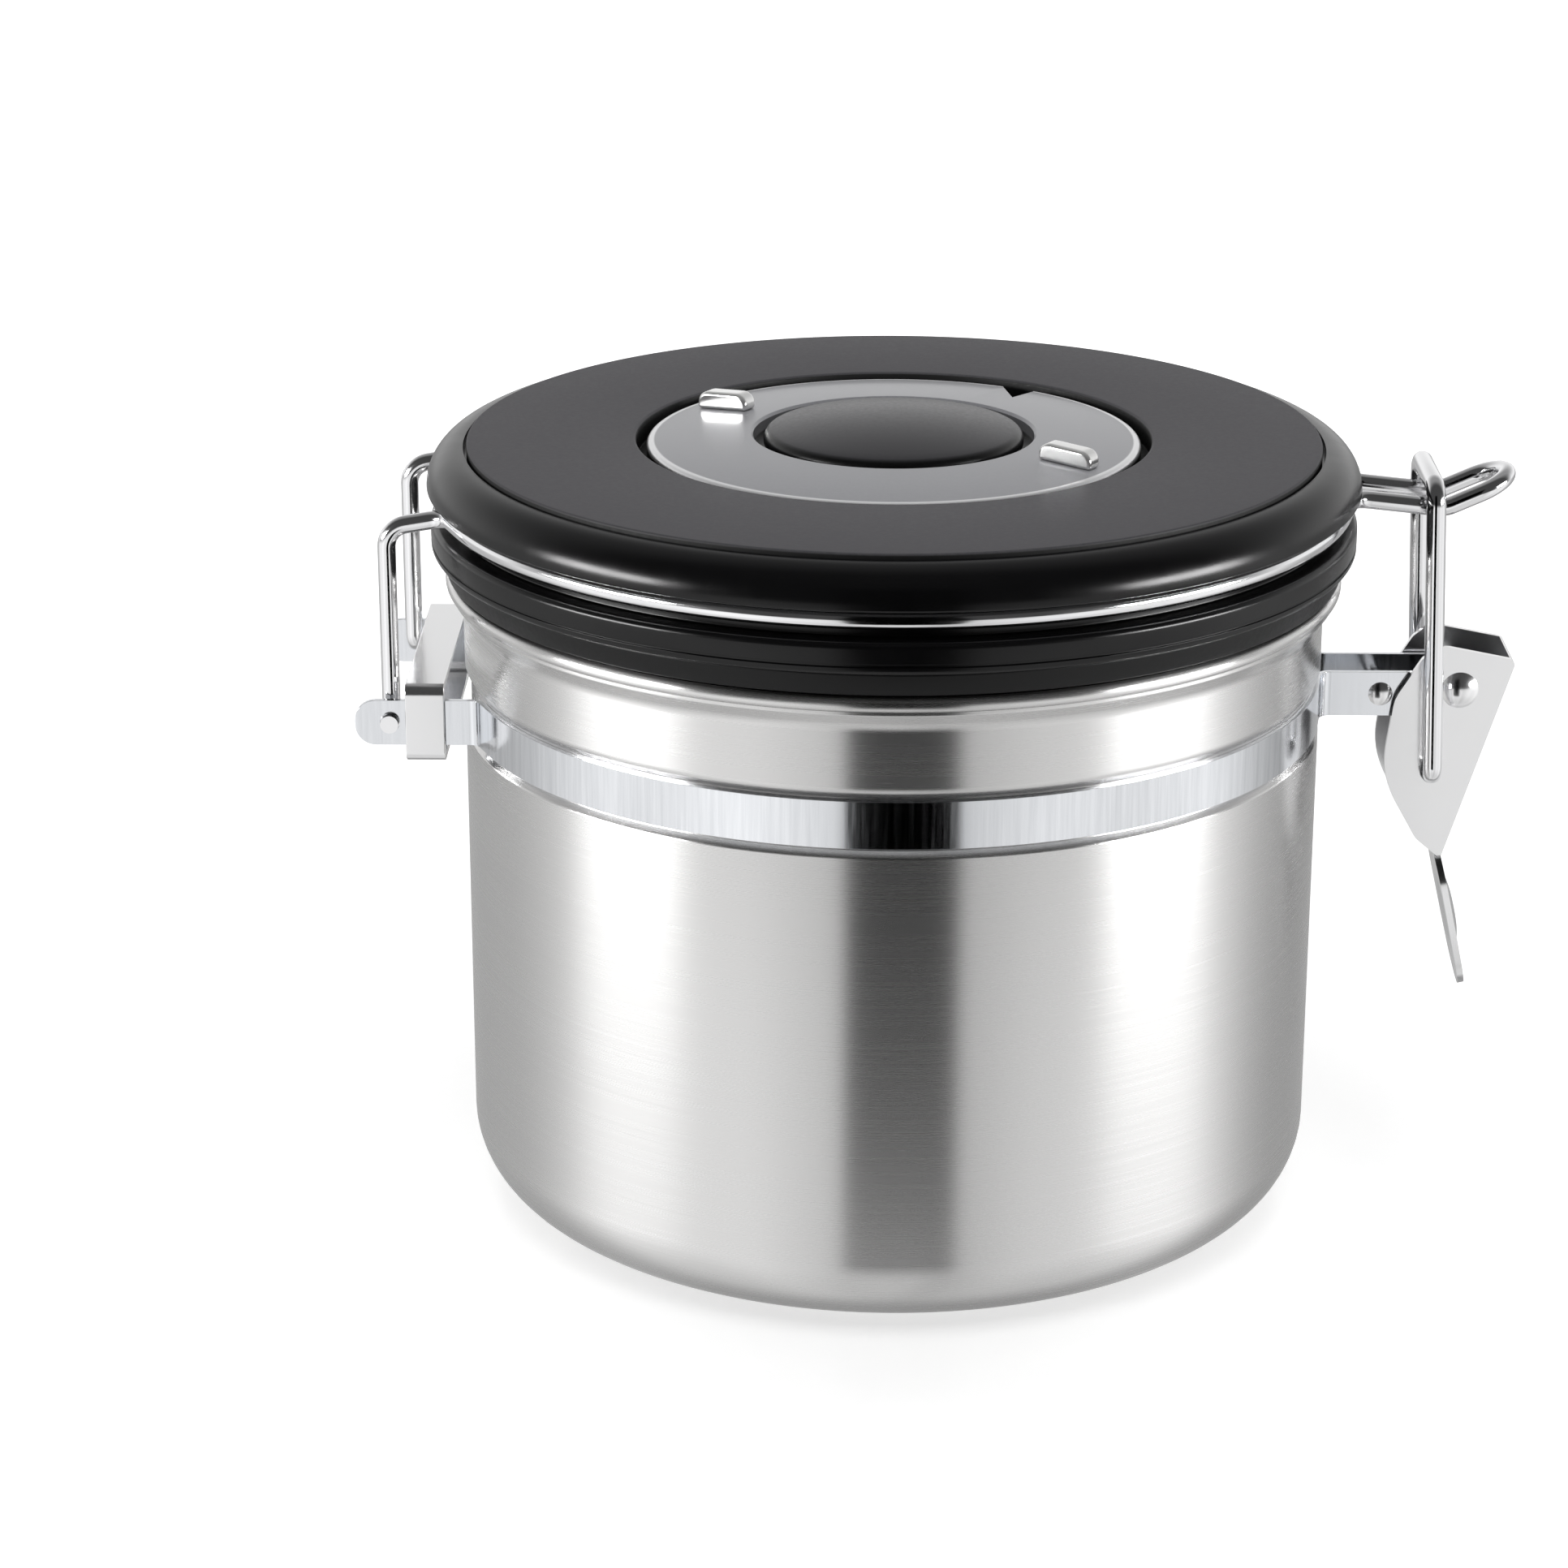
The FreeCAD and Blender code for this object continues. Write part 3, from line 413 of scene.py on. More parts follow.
# plain pressed sheet, dull beside the band
dullSteel, tree, shader = makeFinish(
    "dullSteel", (0.87, 0.87, 0.875), (0.19, 0.21), (240, 240, 240), detail=2, vary=0.01, metallic=1.0)

# the plate's finish, with painted shade: black inside the well under the dial and down its outer edge in the crease
# gap
matteCharcoal, tree, shader = makeFinish(
    "matteCharcoal", (0.073, 0.071, 0.078), (0.52, 0.64), (1800, 1800, 1800), vary=0.008, bump=(0.25, 0.03),
    levels={"Specular IOR Level": 0.36})
recolor(tree, shader, across(tree, "radius", *paintedLightBounds["well"]), below=paintedShadeBlack)
recolor(tree, shader, across(tree, "height", *paintedLightBounds["plateFoot"]), below=paintedShadeBlack)

# the cap's crown is smoother than the plate; painted shade makes it black below its edge, on its side wall in the gap
capCharcoal, tree, shader = makeFinish(
    "capCharcoal", (0.029, 0.028, 0.032), (0.28, 0.36), (1800, 1800, 1800), vary=0.004, bump=(0.12, 0.02),
    levels={"Specular IOR Level": 0.3})
recolor(tree, shader, across(tree, "height", *paintedLightBounds["capFoot"]), below=paintedShadeBlack)

# clouded gloss over a finer moulded grain
satinBlack, tree, shader = makeFinish(
    "satinBlack", (0.004, 0.004, 0.0045), (0.21, 0.26), (220, 220, 220), detail=4,
    levels={"Specular IOR Level": 0.3})
relief(tree, grain(tree, (2600, 2600, 2600)), shader, 0.05, 0.02)

blackSilicone, tree, shader = makeFinish(
    "blackSilicone", (0.006, 0.006, 0.0065), (0.38, 0.46), (1500, 1500, 1500), bump=(0.12, 0.03),
    levels={"Specular IOR Level": 0.25})

clearSilicone, tree, shader = makeFinish(
    "clearSilicone", (0.75, 0.75, 0.73), (0.34, 0.46), (600, 600, 600),
    levels={"Subsurface Weight": 0.2, "Subsurface Radius": (0.001, 0.001, 0.001)})

# grey, with a painted highlight on the outer edge, which is also made partly metallic, and painted shade: black low
# down, in the gap round the cap
dialGrey, tree, shader = makeFinish(
    "dialGrey", (0.31, 0.312, 0.332), (0.32, 0.42), (2200, 2200, 2200), vary=0.02, bump=(0.1, 0.02),
    levels={"Coat Weight": 0.3, "Coat Roughness": 0.12})
# painted highlight: a lighter colour on the outer edge, which is also partly metallic
rim = across(tree, "radius", *paintedLightBounds["dialRim"])
recolor(tree, shader, rim, above=paintedRimHighlight)
tree.links.new(ranged(tree, rim, 0, 1, 0, 0.8), shader.inputs["Metallic"])
# painted shade: black on the low ledge seen through the gap round the cap
recolor(tree, shader, across(tree, "height", *paintedLightBounds["dialFoot"]), below=paintedShadeBlack)

dialBright, tree, shader = makeFinish(
    "dialBright", (0.94, 0.94, 0.93), (0.12, 0.2), (400, 400, 400), metallic=0.6,
    levels={"Specular IOR Level": 0.8})
print("finishes ready:", len(bpy.data.materials))


# Drawn pot: flat base with a bead ring, round corner, band groove, neck and beaded rim
bandLow, bandHigh = boxOf("clamp_band_front")
pot = {"radius": 60.0, "wall": 0.7, "baseCorner": 11.0, "beadInner": 33.0, "beadOuter": 45.0, "beadRise": 1.3,
       "beadRun": 3.0, "beadBlend": 2.0, "grooveDepth": 0.83, "grooveMargin": 0.45, "grooveRun": 0.8,
       "grooveBlend": 0.5, "neckTop": 86.6, "shoulder": 1.6, "flareReach": 1.7, "flareRise": 2.0,
       "flareBlend": 2.4, "rimBead": 1.0, "rim": boxOf("canister_body")[1].z}


def sheetProfile(outer, wall):
    # the outer line of a sheet, then its inner line set in by the wall and walked back
    steps = []
    for i in range(len(outer) - 1):
        step = Vector((outer[i + 1][0] - outer[i][0], outer[i + 1][1] - outer[i][1]))
        steps.append(step.normalized())
    inner = [(outer[0][0], outer[0][1] + wall, 0)]
    for i in range(1, len(outer)):
        before = steps[i - 1]
        after = steps[min(i, len(steps) - 1)]
        side = Vector((-before.y - after.y, before.x + after.x)).normalized()
        reach = wall / side.dot(Vector((-after.y, after.x)))
        leftTurn = before.x * after.y - before.y * after.x > 0
        corner = outer[i][2]
        if corner:
            corner = max(corner - wall, 0.05) if leftTurn else corner + wall
        inner.append((outer[i][0] + side.x * reach, outer[i][1] + side.y * reach, corner))
    return outer, inner


def potProfile():
    radius = pot["radius"]
    grooveRadius = radius - pot["grooveDepth"]
    grooveLow = bandLow.z - pot["grooveMargin"]
    grooveHigh = bandHigh.z + pot["grooveMargin"]
    bead = pot["rimBead"]
    blend = pot["beadBlend"]
    groove = pot["grooveBlend"]
    mouth = radius + pot["flareReach"]
    beadFoot = pot["rim"] - bead * 1.94
    outer = [(0, 0, 0), (pot["beadInner"], 0, blend), (pot["beadInner"] + pot["beadRun"], pot["beadRise"], blend),
             (pot["beadOuter"] - pot["beadRun"], pot["beadRise"], blend), (pot["beadOuter"], 0, blend),
             (radius, 0, pot["baseCorner"]), (radius, grooveLow - pot["grooveRun"], groove),
             (grooveRadius, grooveLow, groove), (grooveRadius, grooveHigh, groove),
             (radius, grooveHigh + pot["grooveRun"], pot["shoulder"]), (radius, pot["neckTop"], pot["flareBlend"]),
             (mouth, pot["neckTop"] + pot["flareRise"], 0.3), (mouth, beadFoot, 0)]
    outer, inner = sheetProfile(outer, pot["wall"])
    beadMiddle = mouth - pot["wall"] / 2
    rolled = [(beadMiddle + bead, beadFoot, bead * 0.9), (beadMiddle + bead, pot["rim"], bead * 0.98),
              (beadMiddle - bead, pot["rim"], bead * 0.98), (beadMiddle - bead, beadFoot, bead * 0.9)]
    return outer + rolled + inner[::-1]


potShell = turnedPiece("potShell", potProfile(), brushedSteel, segments=224)
place(potShell, "pot", "brushed_steel", "canister_body")
print("pot done:", len(potShell.data.polygons))


# Clamp band halves, with ears whose ends are rounded
band = {"midRadius": 59.6, "thickness": 0.8, "foldRadius": 2.2, "foldSpread": 5.0, "endRadius": 2.88,
        "hingeEarHalf": 18.8, "latchEarHalf": 4.2, "pinPlay": 0.08, "edge": 0.12,
        "middle": (bandLow.z + bandHigh.z) / 2, "half": (bandHigh.z - bandLow.z) / 2}


def bentPath(corners, steps=8):
    # flat (x, y, radius) corners to a polyline with round corners
    path = []
    for i, (x, y, radius) in enumerate(corners):
        corner = Vector((x, y))
        if not radius:
            path.append(corner)
            continue
        before = (Vector(corners[i - 1][:2]) - corner).normalized()
        after = (Vector(corners[i + 1][:2]) - corner).normalized()
        half = before.angle(after) / 2
        middle = corner + (before + after).normalized() * (radius / math.sin(half))
        start = corner + before * (radius / math.tan(half)) - middle
        sweep = math.pi - half * 2
        turn = 1 if before.x * after.y - before.y * after.x < 0 else -1
        for k in range(steps + 1):
            path.append(middle + Matrix.Rotation(turn * sweep * k / steps, 2) @ start)
    return path


def ringTangent(radius, angle, y):
    # where the tangent at a ring angle meets a line along X
    turn = math.radians(angle)
    touch = Vector((radius * math.cos(turn), radius * math.sin(turn)))
    heading = Vector((-math.sin(turn), math.cos(turn)))
    return touch + heading * ((y - touch.y) / heading.y)


def bandPath():
    radius = band["midRadius"]
    start = 180 + math.degrees(math.asin(band["hingeEarHalf"] / radius)) + band["foldSpread"]
    finish = 360 - math.degrees(math.asin(band["latchEarHalf"] / radius)) - band["foldSpread"]
    hingeFold = ringTangent(radius, start, -band["hingeEarHalf"])
    latchFold = ringTangent(radius, finish, -band["latchEarHalf"])
    ends = (bandLow.x, bandHigh.x)
    earSteps = [band["endRadius"] * (1 - math.cos(math.pi / 2 * k / 10)) for k in range(11)]
    path = [Vector((ends[0] + step, -band["hingeEarHalf"])) for step in earSteps]
    begin = (radius * math.cos(math.radians(start)), radius * math.sin(math.radians(start)))
    path += bentPath([(path[-1].x, path[-1].y, 0), (*hingeFold, band["foldRadius"]), (*begin, 0)])[1:-1]
    for k in range(121):
        turn = math.radians(start + (finish - start) * k / 120)
        path.append(Vector((radius * math.cos(turn), radius * math.sin(turn))))
    tail = [Vector((ends[1] - step, -band["latchEarHalf"])) for step in earSteps[::-1]]
    path += bentPath([(path[-1].x, path[-1].y, 0), (*latchFold, band["foldRadius"]), (*tail[0], 0)])[1:-1]
    return path + tail, ends


def bandMesh(name):
    path, ends = bandPath()
    verts, faces = [], []
    for i, point in enumerate(path):
        ahead = path[min(i + 1, len(path) - 1)] - path[max(i - 1, 0)]
        side = Vector((-ahead.y, ahead.x)).normalized() * band["thickness"] / 2
        fromEnd = min(abs(point.x - ends[0]), abs(point.x - ends[1]))
        cut = band["endRadius"]
        half = band["half"]
        if fromEnd < cut and abs(point.x) > band["midRadius"]:
            half = half - cut + math.sqrt(max(cut ** 2 - (cut - fromEnd) ** 2, 0))
        for offset, rise in ((side, -half), (side, half), (-side, half), (-side, -half)):
            verts.append(Vector((*(point + offset), band["middle"] + rise)) * mm)
    for i in range(len(path) - 1):
        for k in range(4):
            faces.append((i * 4 + k, i * 4 + (k + 1) % 4, i * 4 + 4 + (k + 1) % 4, i * 4 + 4 + k))
    last = (len(path) - 1) * 4
    faces += [(0, 1, 2, 3), (last, last + 1, last + 2, last + 3)]
    piece = meshObject(name, verts, faces, stripSteel)
    weldMesh(piece.data)
    return piece


def jointPlace(name):
    joint = next(joint for joint in frame["joints"] if joint["name"] == name)
    return Vector(joint["pos_m"]) / mm


hingePlace = jointPlace("lid_hinge")
leverPlace = jointPlace("lever_hinge")
bailPlace = jointPlace("bail_pivot")
rivetLow, rivetHigh = boxOf("latch_ear_rivet")
rivetMiddle = (rivetLow + rivetHigh) / 2
wire = {"radius": 1.25, "ringRadius": 62.5, "legHalf": 16.3, "tailHalf": 4.5, "hookBend": 2.0, "topBend": 3.2,
        "turnBend": 3.6, "tailBend": 4.0, "tailBendX": 76.1, "leadIn": 5.5, "leadOut": 8.0, "loopStraight": 5.2,
        "loopRise": 24.0, "height": 101.6, "dip": 1.4, "hookOver": 1.0}
pin = {"radius": 1.5, "headRadius": 2.6, "headHeight": 1.1}
rivet = {"radius": 1.1, "headRadius": 1.7, "headHeight": 0.5}

for name, node, flipped in (("clampFront", "clamp_band_front", False), ("clampRear", "clamp_band_rear", True)):
    bandHalf = bandMesh(name)
    for radius, at in ((wire["radius"] + band["pinPlay"], hingePlace),
                       (pin["radius"] + band["pinPlay"], leverPlace), (rivet["radius"] + fitGap, rivetMiddle)):
        drillAcross(bandHalf, radius, at, 40)
    softenEdges(bandHalf, band["edge"], angle=50)
    if flipped:
        bandHalf.data.transform(Matrix.Scale(-1, 4, Vector((0, 1, 0))))
        weldMesh(bandHalf.data)
    shade(bandHalf, 40, flat=True)
    place(bandHalf, "pot", "polished_steel", node)
print("clamp band done")


# Hinge clip, a strip folded round both ears
clipLow, clipHigh = boxOf("hinge_clip")
clip = {"thickness": 0.8, "innerCorner": 0.7, "edge": 0.15}


def flatLoop(halfWidth, halfHeight, corner):
    return [((sideX * halfWidth, sideY * halfHeight, 0), corner, 8)
            for sideX, sideY in ((-1, -1), (1, -1), (1, 1), (-1, 1))]


clipMiddle = (clipLow + clipHigh) / 2
clipHalfY = (clipHigh.y - clipLow.y) / 2
clipHalfZ = (clipHigh.z - clipLow.z) / 2
hingeClip = pressedPiece("hingeClip", [
    flatLoop(clipHalfY, clipHalfZ, clip["innerCorner"] + clip["thickness"]),
    flatLoop(clipHalfY - clip["thickness"], clipHalfZ - clip["thickness"], clip["innerCorner"])],
    dullSteel, clipHigh.x - clipLow.x)
# outline X and Y stand for the clip's Y and Z
standing = Matrix(((0, 0, 1, 0), (1, 0, 0, 0), (0, 1, 0, 0), (0, 0, 0, 1)))
hingeClip.data.transform(Matrix.Translation(Vector((clipLow.x, 0, clipMiddle.z)) * mm) @ standing)
weldMesh(hingeClip.data)
softenEdges(hingeClip, clip["edge"], angle=50)
shade(hingeClip, 40, flat=True)
place(hingeClip, "pot", "polished_steel", "hinge_clip")
print("hinge clip done")


# Rivet and pin with domed heads, turned upright and laid along Y
def headedRod(name, sizes, reach, at):
    head = sizes["headHeight"]
    width = sizes["headRadius"]
    dome = (width ** 2 + head ** 2) / (2 * head)
    arc = math.asin(width / dome)
    profile = []
    for k in range(9):
        turn = arc * k / 8
        profile.append((dome * math.sin(turn), reach + head - dome + dome * math.cos(turn), 0))
    profile += [(sizes["radius"], reach, 0), (sizes["radius"], -reach, 0)]
    profile += [(radius, -height, 0) for radius, height, corner in profile[8::-1]]
    rod = turnedPiece(name, profile, dullSteel, segments=40, angle=50)
    along = Matrix.Rotation(math.pi / 2, 4, "X")
    rod.data.transform(Matrix.Translation(Vector((at.x, 0, at.z)) * mm) @ along)
    weldMesh(rod.data)
    return shade(rod, 50)


earRivet = headedRod("earRivet", rivet, rivetHigh.y - rivet["headHeight"], rivetMiddle)
place(earRivet, "pot", "polished_steel", "latch_ear_rivet")
pinHigh = boxOf("lever_pivot_pin")[1]
pivotPin = headedRod("pivotPin", pin, pinHigh.y - pin["headHeight"], leverPlace)
place(pivotPin, "lever", "polished_steel", "lever_pivot_pin")
print("rivet and pin done")


# Lid wire: hook, leg, ring round the lid, tail and finger loop, and back
def wireRun():
    ring = wire["ringRadius"]
    height = wire["height"]
    low = height - wire["dip"]
    hookY = -(band["hingeEarHalf"] + band["thickness"] / 2 + wire["hookOver"])
    start = 180 + math.degrees(math.asin(wire["legHalf"] / ring)) + wire["leadIn"]
    finish = 360 - math.degrees(math.asin(wire["tailHalf"] / ring)) - wire["leadOut"]
    turnIn = ringTangent(ring, start, -wire["legHalf"])
    turnOut = ringTangent(ring, finish, -wire["tailHalf"])
    run = [((hingePlace.x, hookY, hingePlace.z), 0, 1),
           ((hingePlace.x, -wire["legHalf"], hingePlace.z), wire["hookBend"], 8),
           ((hingePlace.x, -wire["legHalf"], low), wire["topBend"], 10),
           ((*turnIn, height), wire["turnBend"], 6)]
    arcs = 4
    share = (finish - start) / arcs
    for k in range(arcs):
        turn = math.radians(start + share * (k + 0.5))
        reach = ring / math.cos(math.radians(share / 2))
        run.append(((reach * math.cos(turn), reach * math.sin(turn), height), ring, 28))
    rise = math.radians(wire["loopRise"])
    heading = Vector((math.cos(rise), 0, math.sin(rise)))
    bend = Vector((wire["tailBendX"], -wire["tailHalf"], low))
    corner = bend + heading * (wire["loopStraight"] + wire["tailHalf"])
    run += [((*turnOut, height), wire["turnBend"], 6), (tuple(bend), wire["tailBend"], 6),
            (tuple(corner), wire["tailHalf"], 12)]
    return run


lidWire = wirePiece("lidWire", wireRun(), wire["radius"])
place(lidWire, "lid", "polished_steel", "lid_wire")

bailHigh = boxOf("latch_bail")[1]
bail = {"radius": 1.35, "hookBend": 2.0, "topBend": 2.6, "topX": 74.2, "hookInside": 4.25}
bailHalf = bailHigh.y - bail["radius"]
bailRun = [((bailPlace.x, -bail["hookInside"], bailPlace.z), 0, 1),
           ((bailPlace.x, -bailHalf, bailPlace.z), bail["hookBend"], 8),
           ((bail["topX"], -bailHalf, bailHigh.z - bail["radius"]), bail["topBend"], 10)]
latchBail = wirePiece("latchBail", bailRun, bail["radius"])
place(latchBail, "bail", "polished_steel", "latch_bail")
print("wires done")


# Lid, from the seal up to the top plate
baseLow, baseHigh = boxOf("lid_base")
sealLow, sealHigh = boxOf("lid_seal")
retainerLow, retainerHigh = boxOf("seal_retainer")
coverLow, coverHigh = boxOf("lid_cover")
plateLow, plateHigh = boxOf("lid_top_plate")
lid = {"flangeHeight": 4.4, "flangeCorner": 0.9, "floor": 1.6, "floorCorner": 0.5, "wall": 1.6, "wallEdge": 0.3,
       "neckRadius": 61.2, "valveHole": 11.02, "grooveLow": 1.15, "grooveHigh": 1.55, "grooveDepth": 0.25,
       "grooveEdge": 0.08, "retainerWall": 1.6, "retainerEdge": 0.5, "sealTaper": 1.0, "sealBead": 0.5,
       "sealEdge": 0.25, "crease": 59.45, "creaseGap": 0.4, "creaseEdge": 0.25, "crown": 5.12, "drop": 0.7,
       "lip": 0.5, "boreEdge": 0.2, "ledge": 2.5, "plateThickness": 2.0, "plateEdge": 0.3, "wellRadius": 35.65,
       "wellDepth": 3.2, "wellWall": 1.4, "wellCorner": 0.2, "wellEdge": 0.5}
flangeTop = baseLow.z + lid["flangeHeight"]
flangeCorner = lid["flangeCorner"]
floorTop = baseLow.z + lid["floor"]
neckInner = lid["neckRadius"] - lid["wall"]
wallEdge = lid["wallEdge"]
grooveRadius = baseHigh.x - lid["grooveDepth"]
grooveLow = baseLow.z + lid["grooveLow"]
grooveHigh = baseLow.z + lid["grooveHigh"]
grooveEdge = lid["grooveEdge"]
lidBase = turnedPiece("lidBase", [
    (lid["valveHole"], baseLow.z, 0), (baseHigh.x, baseLow.z, flangeCorner), (baseHigh.x, grooveLow, grooveEdge),
    (grooveRadius, grooveLow, grooveEdge), (grooveRadius, grooveHigh, grooveEdge),
    (baseHigh.x, grooveHigh, grooveEdge), (baseHigh.x, flangeTop, flangeCorner),
    (lid["neckRadius"], flangeTop, wallEdge), (lid["neckRadius"], baseHigh.z, wallEdge),
    (neckInner, baseHigh.z, wallEdge), (neckInner, floorTop, lid["floorCorner"]),
    (lid["valveHole"], floorTop, 0)], satinBlack)
place(lidBase, "lid", "satin_black", "lid_base")

retainerInner = retainerHigh.x - lid["retainerWall"]
sealRetainer = turnedPiece("sealRetainer", [
    (retainerInner, retainerHigh.z, 0), (retainerInner, retainerLow.z, lid["retainerEdge"]),
    (retainerHigh.x, retainerLow.z, lid["retainerEdge"]), (retainerHigh.x, retainerHigh.z, 0)], satinBlack)
place(sealRetainer, "lid", "satin_black", "seal_retainer")

sealInner = retainerHigh.x + fitGap
lidSeal = turnedPiece("lidSeal", [
    (sealInner, sealLow.z, lid["sealBead"]), (sealHigh.x - lid["sealTaper"], sealLow.z, lid["sealBead"]),
    (sealHigh.x, sealHigh.z, lid["sealEdge"]), (sealInner, sealHigh.z, 0)], blackSilicone)
place(lidSeal, "lid", "black_silicone", "lid_seal")

coverBore = lid["neckRadius"] + fitGap
coverFoot = baseHigh.z + fitGap
ledgeInner = lid["crease"] - lid["ledge"]
ledgeTop = coverHigh.z - lid["plateThickness"]
crownTop = coverHigh.z - lid["drop"]
lidCover = turnedPiece("lidCover", [
    (lid["crease"], crownTop, lid["creaseEdge"]), (coverHigh.x, crownTop, lid["crown"]),
    (coverHigh.x, coverLow.z, lid["lip"]), (coverBore, coverLow.z, lid["boreEdge"]), (coverBore, coverFoot, 0),
    (ledgeInner, coverFoot, 0), (ledgeInner, ledgeTop, 0), (lid["crease"], ledgeTop, 0)], satinBlack, segments=224)
place(lidCover, "lid", "satin_black", "lid_cover")

wellFloor = plateHigh.z - lid["wellDepth"]
wellOuter = lid["wellRadius"] + lid["wellWall"]
plateRadius = lid["crease"] - lid["creaseGap"]
plateFoot = plateHigh.z - lid["plateThickness"] + fitGap
topPlate = turnedPiece("topPlate", [
    (plateRadius, plateHigh.z, lid["plateEdge"]), (plateRadius, plateFoot, 0), (wellOuter, plateFoot, 0),
    (wellOuter, plateLow.z, lid["wellCorner"]), (lid["valveHole"], plateLow.z, 0),
    (lid["valveHole"], wellFloor, 0), (lid["wellRadius"], wellFloor, lid["wellCorner"]),
    (lid["wellRadius"], plateHigh.z, lid["wellEdge"])], matteCharcoal, segments=224)
place(topPlate, "lid", "matte_charcoal", "lid_top_plate")
print("lid done")


# Date dial with its pointer notch, and the two grips on it
dialLow, dialHigh = boxOf("date_dial")
dial = {"radius": 34.2, "inner": 19.45, "ledge": 16.0, "ledgeHeight": 1.0, "footEdge": 0.2, "edge": 0.7,
        "faceEdge": 0.2, "innerEdge": 0.35, "boreEdge": 0.1, "fall": 1.0, "notchAngle": 58.0, "notchHalf": 3.3,
        "notchDepth": 7.0, "notchOver": 1.0, "notchBelow": 2.0, "notchTool": 8.0}
grip = {"angle": 148.0, "middle": 27.71, "length": 8.11, "height": 2.5, "thickness": 2.9, "corner": 1.7, "edge": 0.55}
dialLedge = dialLow.z + dial["ledgeHeight"]
faceInner = dial["inner"] + dial["innerEdge"]
dateDial = turnedPiece("dateDial", [
    (dial["ledge"], dialLow.z, 0), (dial["radius"], dialLow.z, dial["footEdge"]),
    (dial["radius"], dialHigh.z - dial["fall"], dial["edge"]), (faceInner, dialHigh.z, dial["faceEdge"]),
    (dial["inner"], dialHigh.z - dial["innerEdge"], dial["boreEdge"]), (dial["inner"], dialLedge, 0),
    (dial["ledge"], dialLedge, 0)], dialGrey)
notchMouth = dial["radius"] + dial["notchOver"]
notch = pressedPiece("notch", [[((dial["radius"] - dial["notchDepth"], -dial["notchHalf"], 0), 0, 1),
                                ((notchMouth, -dial["notchHalf"], 0), 0, 1),
                                ((notchMouth, dial["notchHalf"], 0), 0, 1)]], dialGrey, dial["notchTool"])
notch.data.transform(Matrix.Rotation(math.radians(dial["notchAngle"]), 4, "Z")
                     @ Matrix.Translation((0, 0, (dialLow.z - dial["notchBelow"]) * mm)))
combine(dateDial, notch, "DIFFERENCE")
shade(dateDial)
place(dateDial, "dial", "dial_grey", "date_dial")


def onFace(radius):
    # height of the dial's falling face
    return dialHigh.z - dial["fall"] * (radius - faceInner) / (dial["radius"] - faceInner)


fins = []
for turn in (grip["angle"], grip["angle"] + 180):
    inner = grip["middle"] - grip["length"] / 2
    outer = grip["middle"] + grip["length"] / 2
    fin = pressedPiece("dialGrips", [[((inner, onFace(inner), 0), 0, 1), ((outer, onFace(outer), 0), 0, 1),
                                      ((outer, onFace(outer) + grip["height"], 0), grip["corner"], 8),
                                      ((inner, onFace(inner) + grip["height"], 0), grip["corner"], 8)]],
                       dialBright, grip["thickness"])
    softenEdges(fin, grip["edge"], segments=4, angle=50)
    lift = Matrix.Translation(Vector((0, grip["thickness"] / 2, 0)) * mm)
    fin.data.transform(Matrix.Rotation(math.radians(turn), 4, "Z") @ lift @ Matrix.Rotation(math.pi / 2, 4, "X"))
    fins.append(fin)
dialGrips = fins[0]
joined = bmesh.new()
for fin in fins:
    joined.from_mesh(fin.data)
joined.to_mesh(dialGrips.data)
joined.free()
bpy.data.objects.remove(fins[1])
weldMesh(dialGrips.data)
shade(dialGrips, 40, flat=True)
place(dialGrips, "dial", "dial_bright", "dial_grips")
print("dial done")


# Freshness valve: cap, housing, gasket, guard and disc
capLow, capHigh = boxOf("valve_cap")
housingLow, housingHigh = boxOf("valve_housing")
guardLow, guardHigh = boxOf("valve_guard")
gasketLow, gasketHigh = boxOf("valve_gasket")
discLow, discHigh = boxOf("valve_disc")
valve = {"capRim": 2.0, "capRise": 2.1, "crownSteps": 14, "shoulder": 1.4, "capEdge": 0.4, "hub": 15.5,
         "hubWall": 1.5, "capPlate": 1.1, "spigotWall": 1.2, "ventWidth": 3.2, "ventOver": 1.0, "tube": 11.0,
         "tubeWall": 1.6, "flange": 1.4, "seat": 1.0, "seatLift": 0.6, "guide": 1.0, "guideHeight": 3.4,
         "seatHole": 1.3, "seatRing": 4.15, "seatHoles": 6, "seatDrill": 3.0, "guardHole": 0.9, "guardRing": 6.4,
         "guardHoles": 12, "guardDrill": 4.0, "discPlay": 0.35, "discEdge": 0.25, "edge": 0.3, "smallEdge": 0.2}
capRim = capHigh.z - valve["capRise"]
capFoot = capRim - valve["capRim"]
capUnder = capRim - valve["capPlate"] / 2
hubInner = valve["hub"] - valve["hubWall"]
hubFoot = wellFloor + fitGap
bore = valve["tube"] - valve["tubeWall"]
spigot = bore - fitGap
spigotInner = spigot - valve["spigotWall"]
edge, smallEdge = valve["edge"], valve["smallEdge"]
crownShares = [k / valve["crownSteps"] for k in range(valve["crownSteps"] - 1)]
crown = [(capHigh.x * share, capHigh.z - valve["capRise"] * share ** 2, 0) for share in crownShares]
valveCap = turnedPiece("valveCap", crown + [
    (capHigh.x, capRim, valve["shoulder"]), (capHigh.x, capFoot, valve["capEdge"]), (valve["hub"], capFoot, 0),
    (valve["hub"], hubFoot, 0), (hubInner, hubFoot, 0), (hubInner, capUnder, 0), (spigot, capUnder, 0),
    (spigot, capLow.z, smallEdge), (spigotInner, capLow.z, smallEdge), (spigotInner, capUnder, 0),
    (0, capUnder, 0)], capCharcoal)
ventOver = valve["ventOver"]
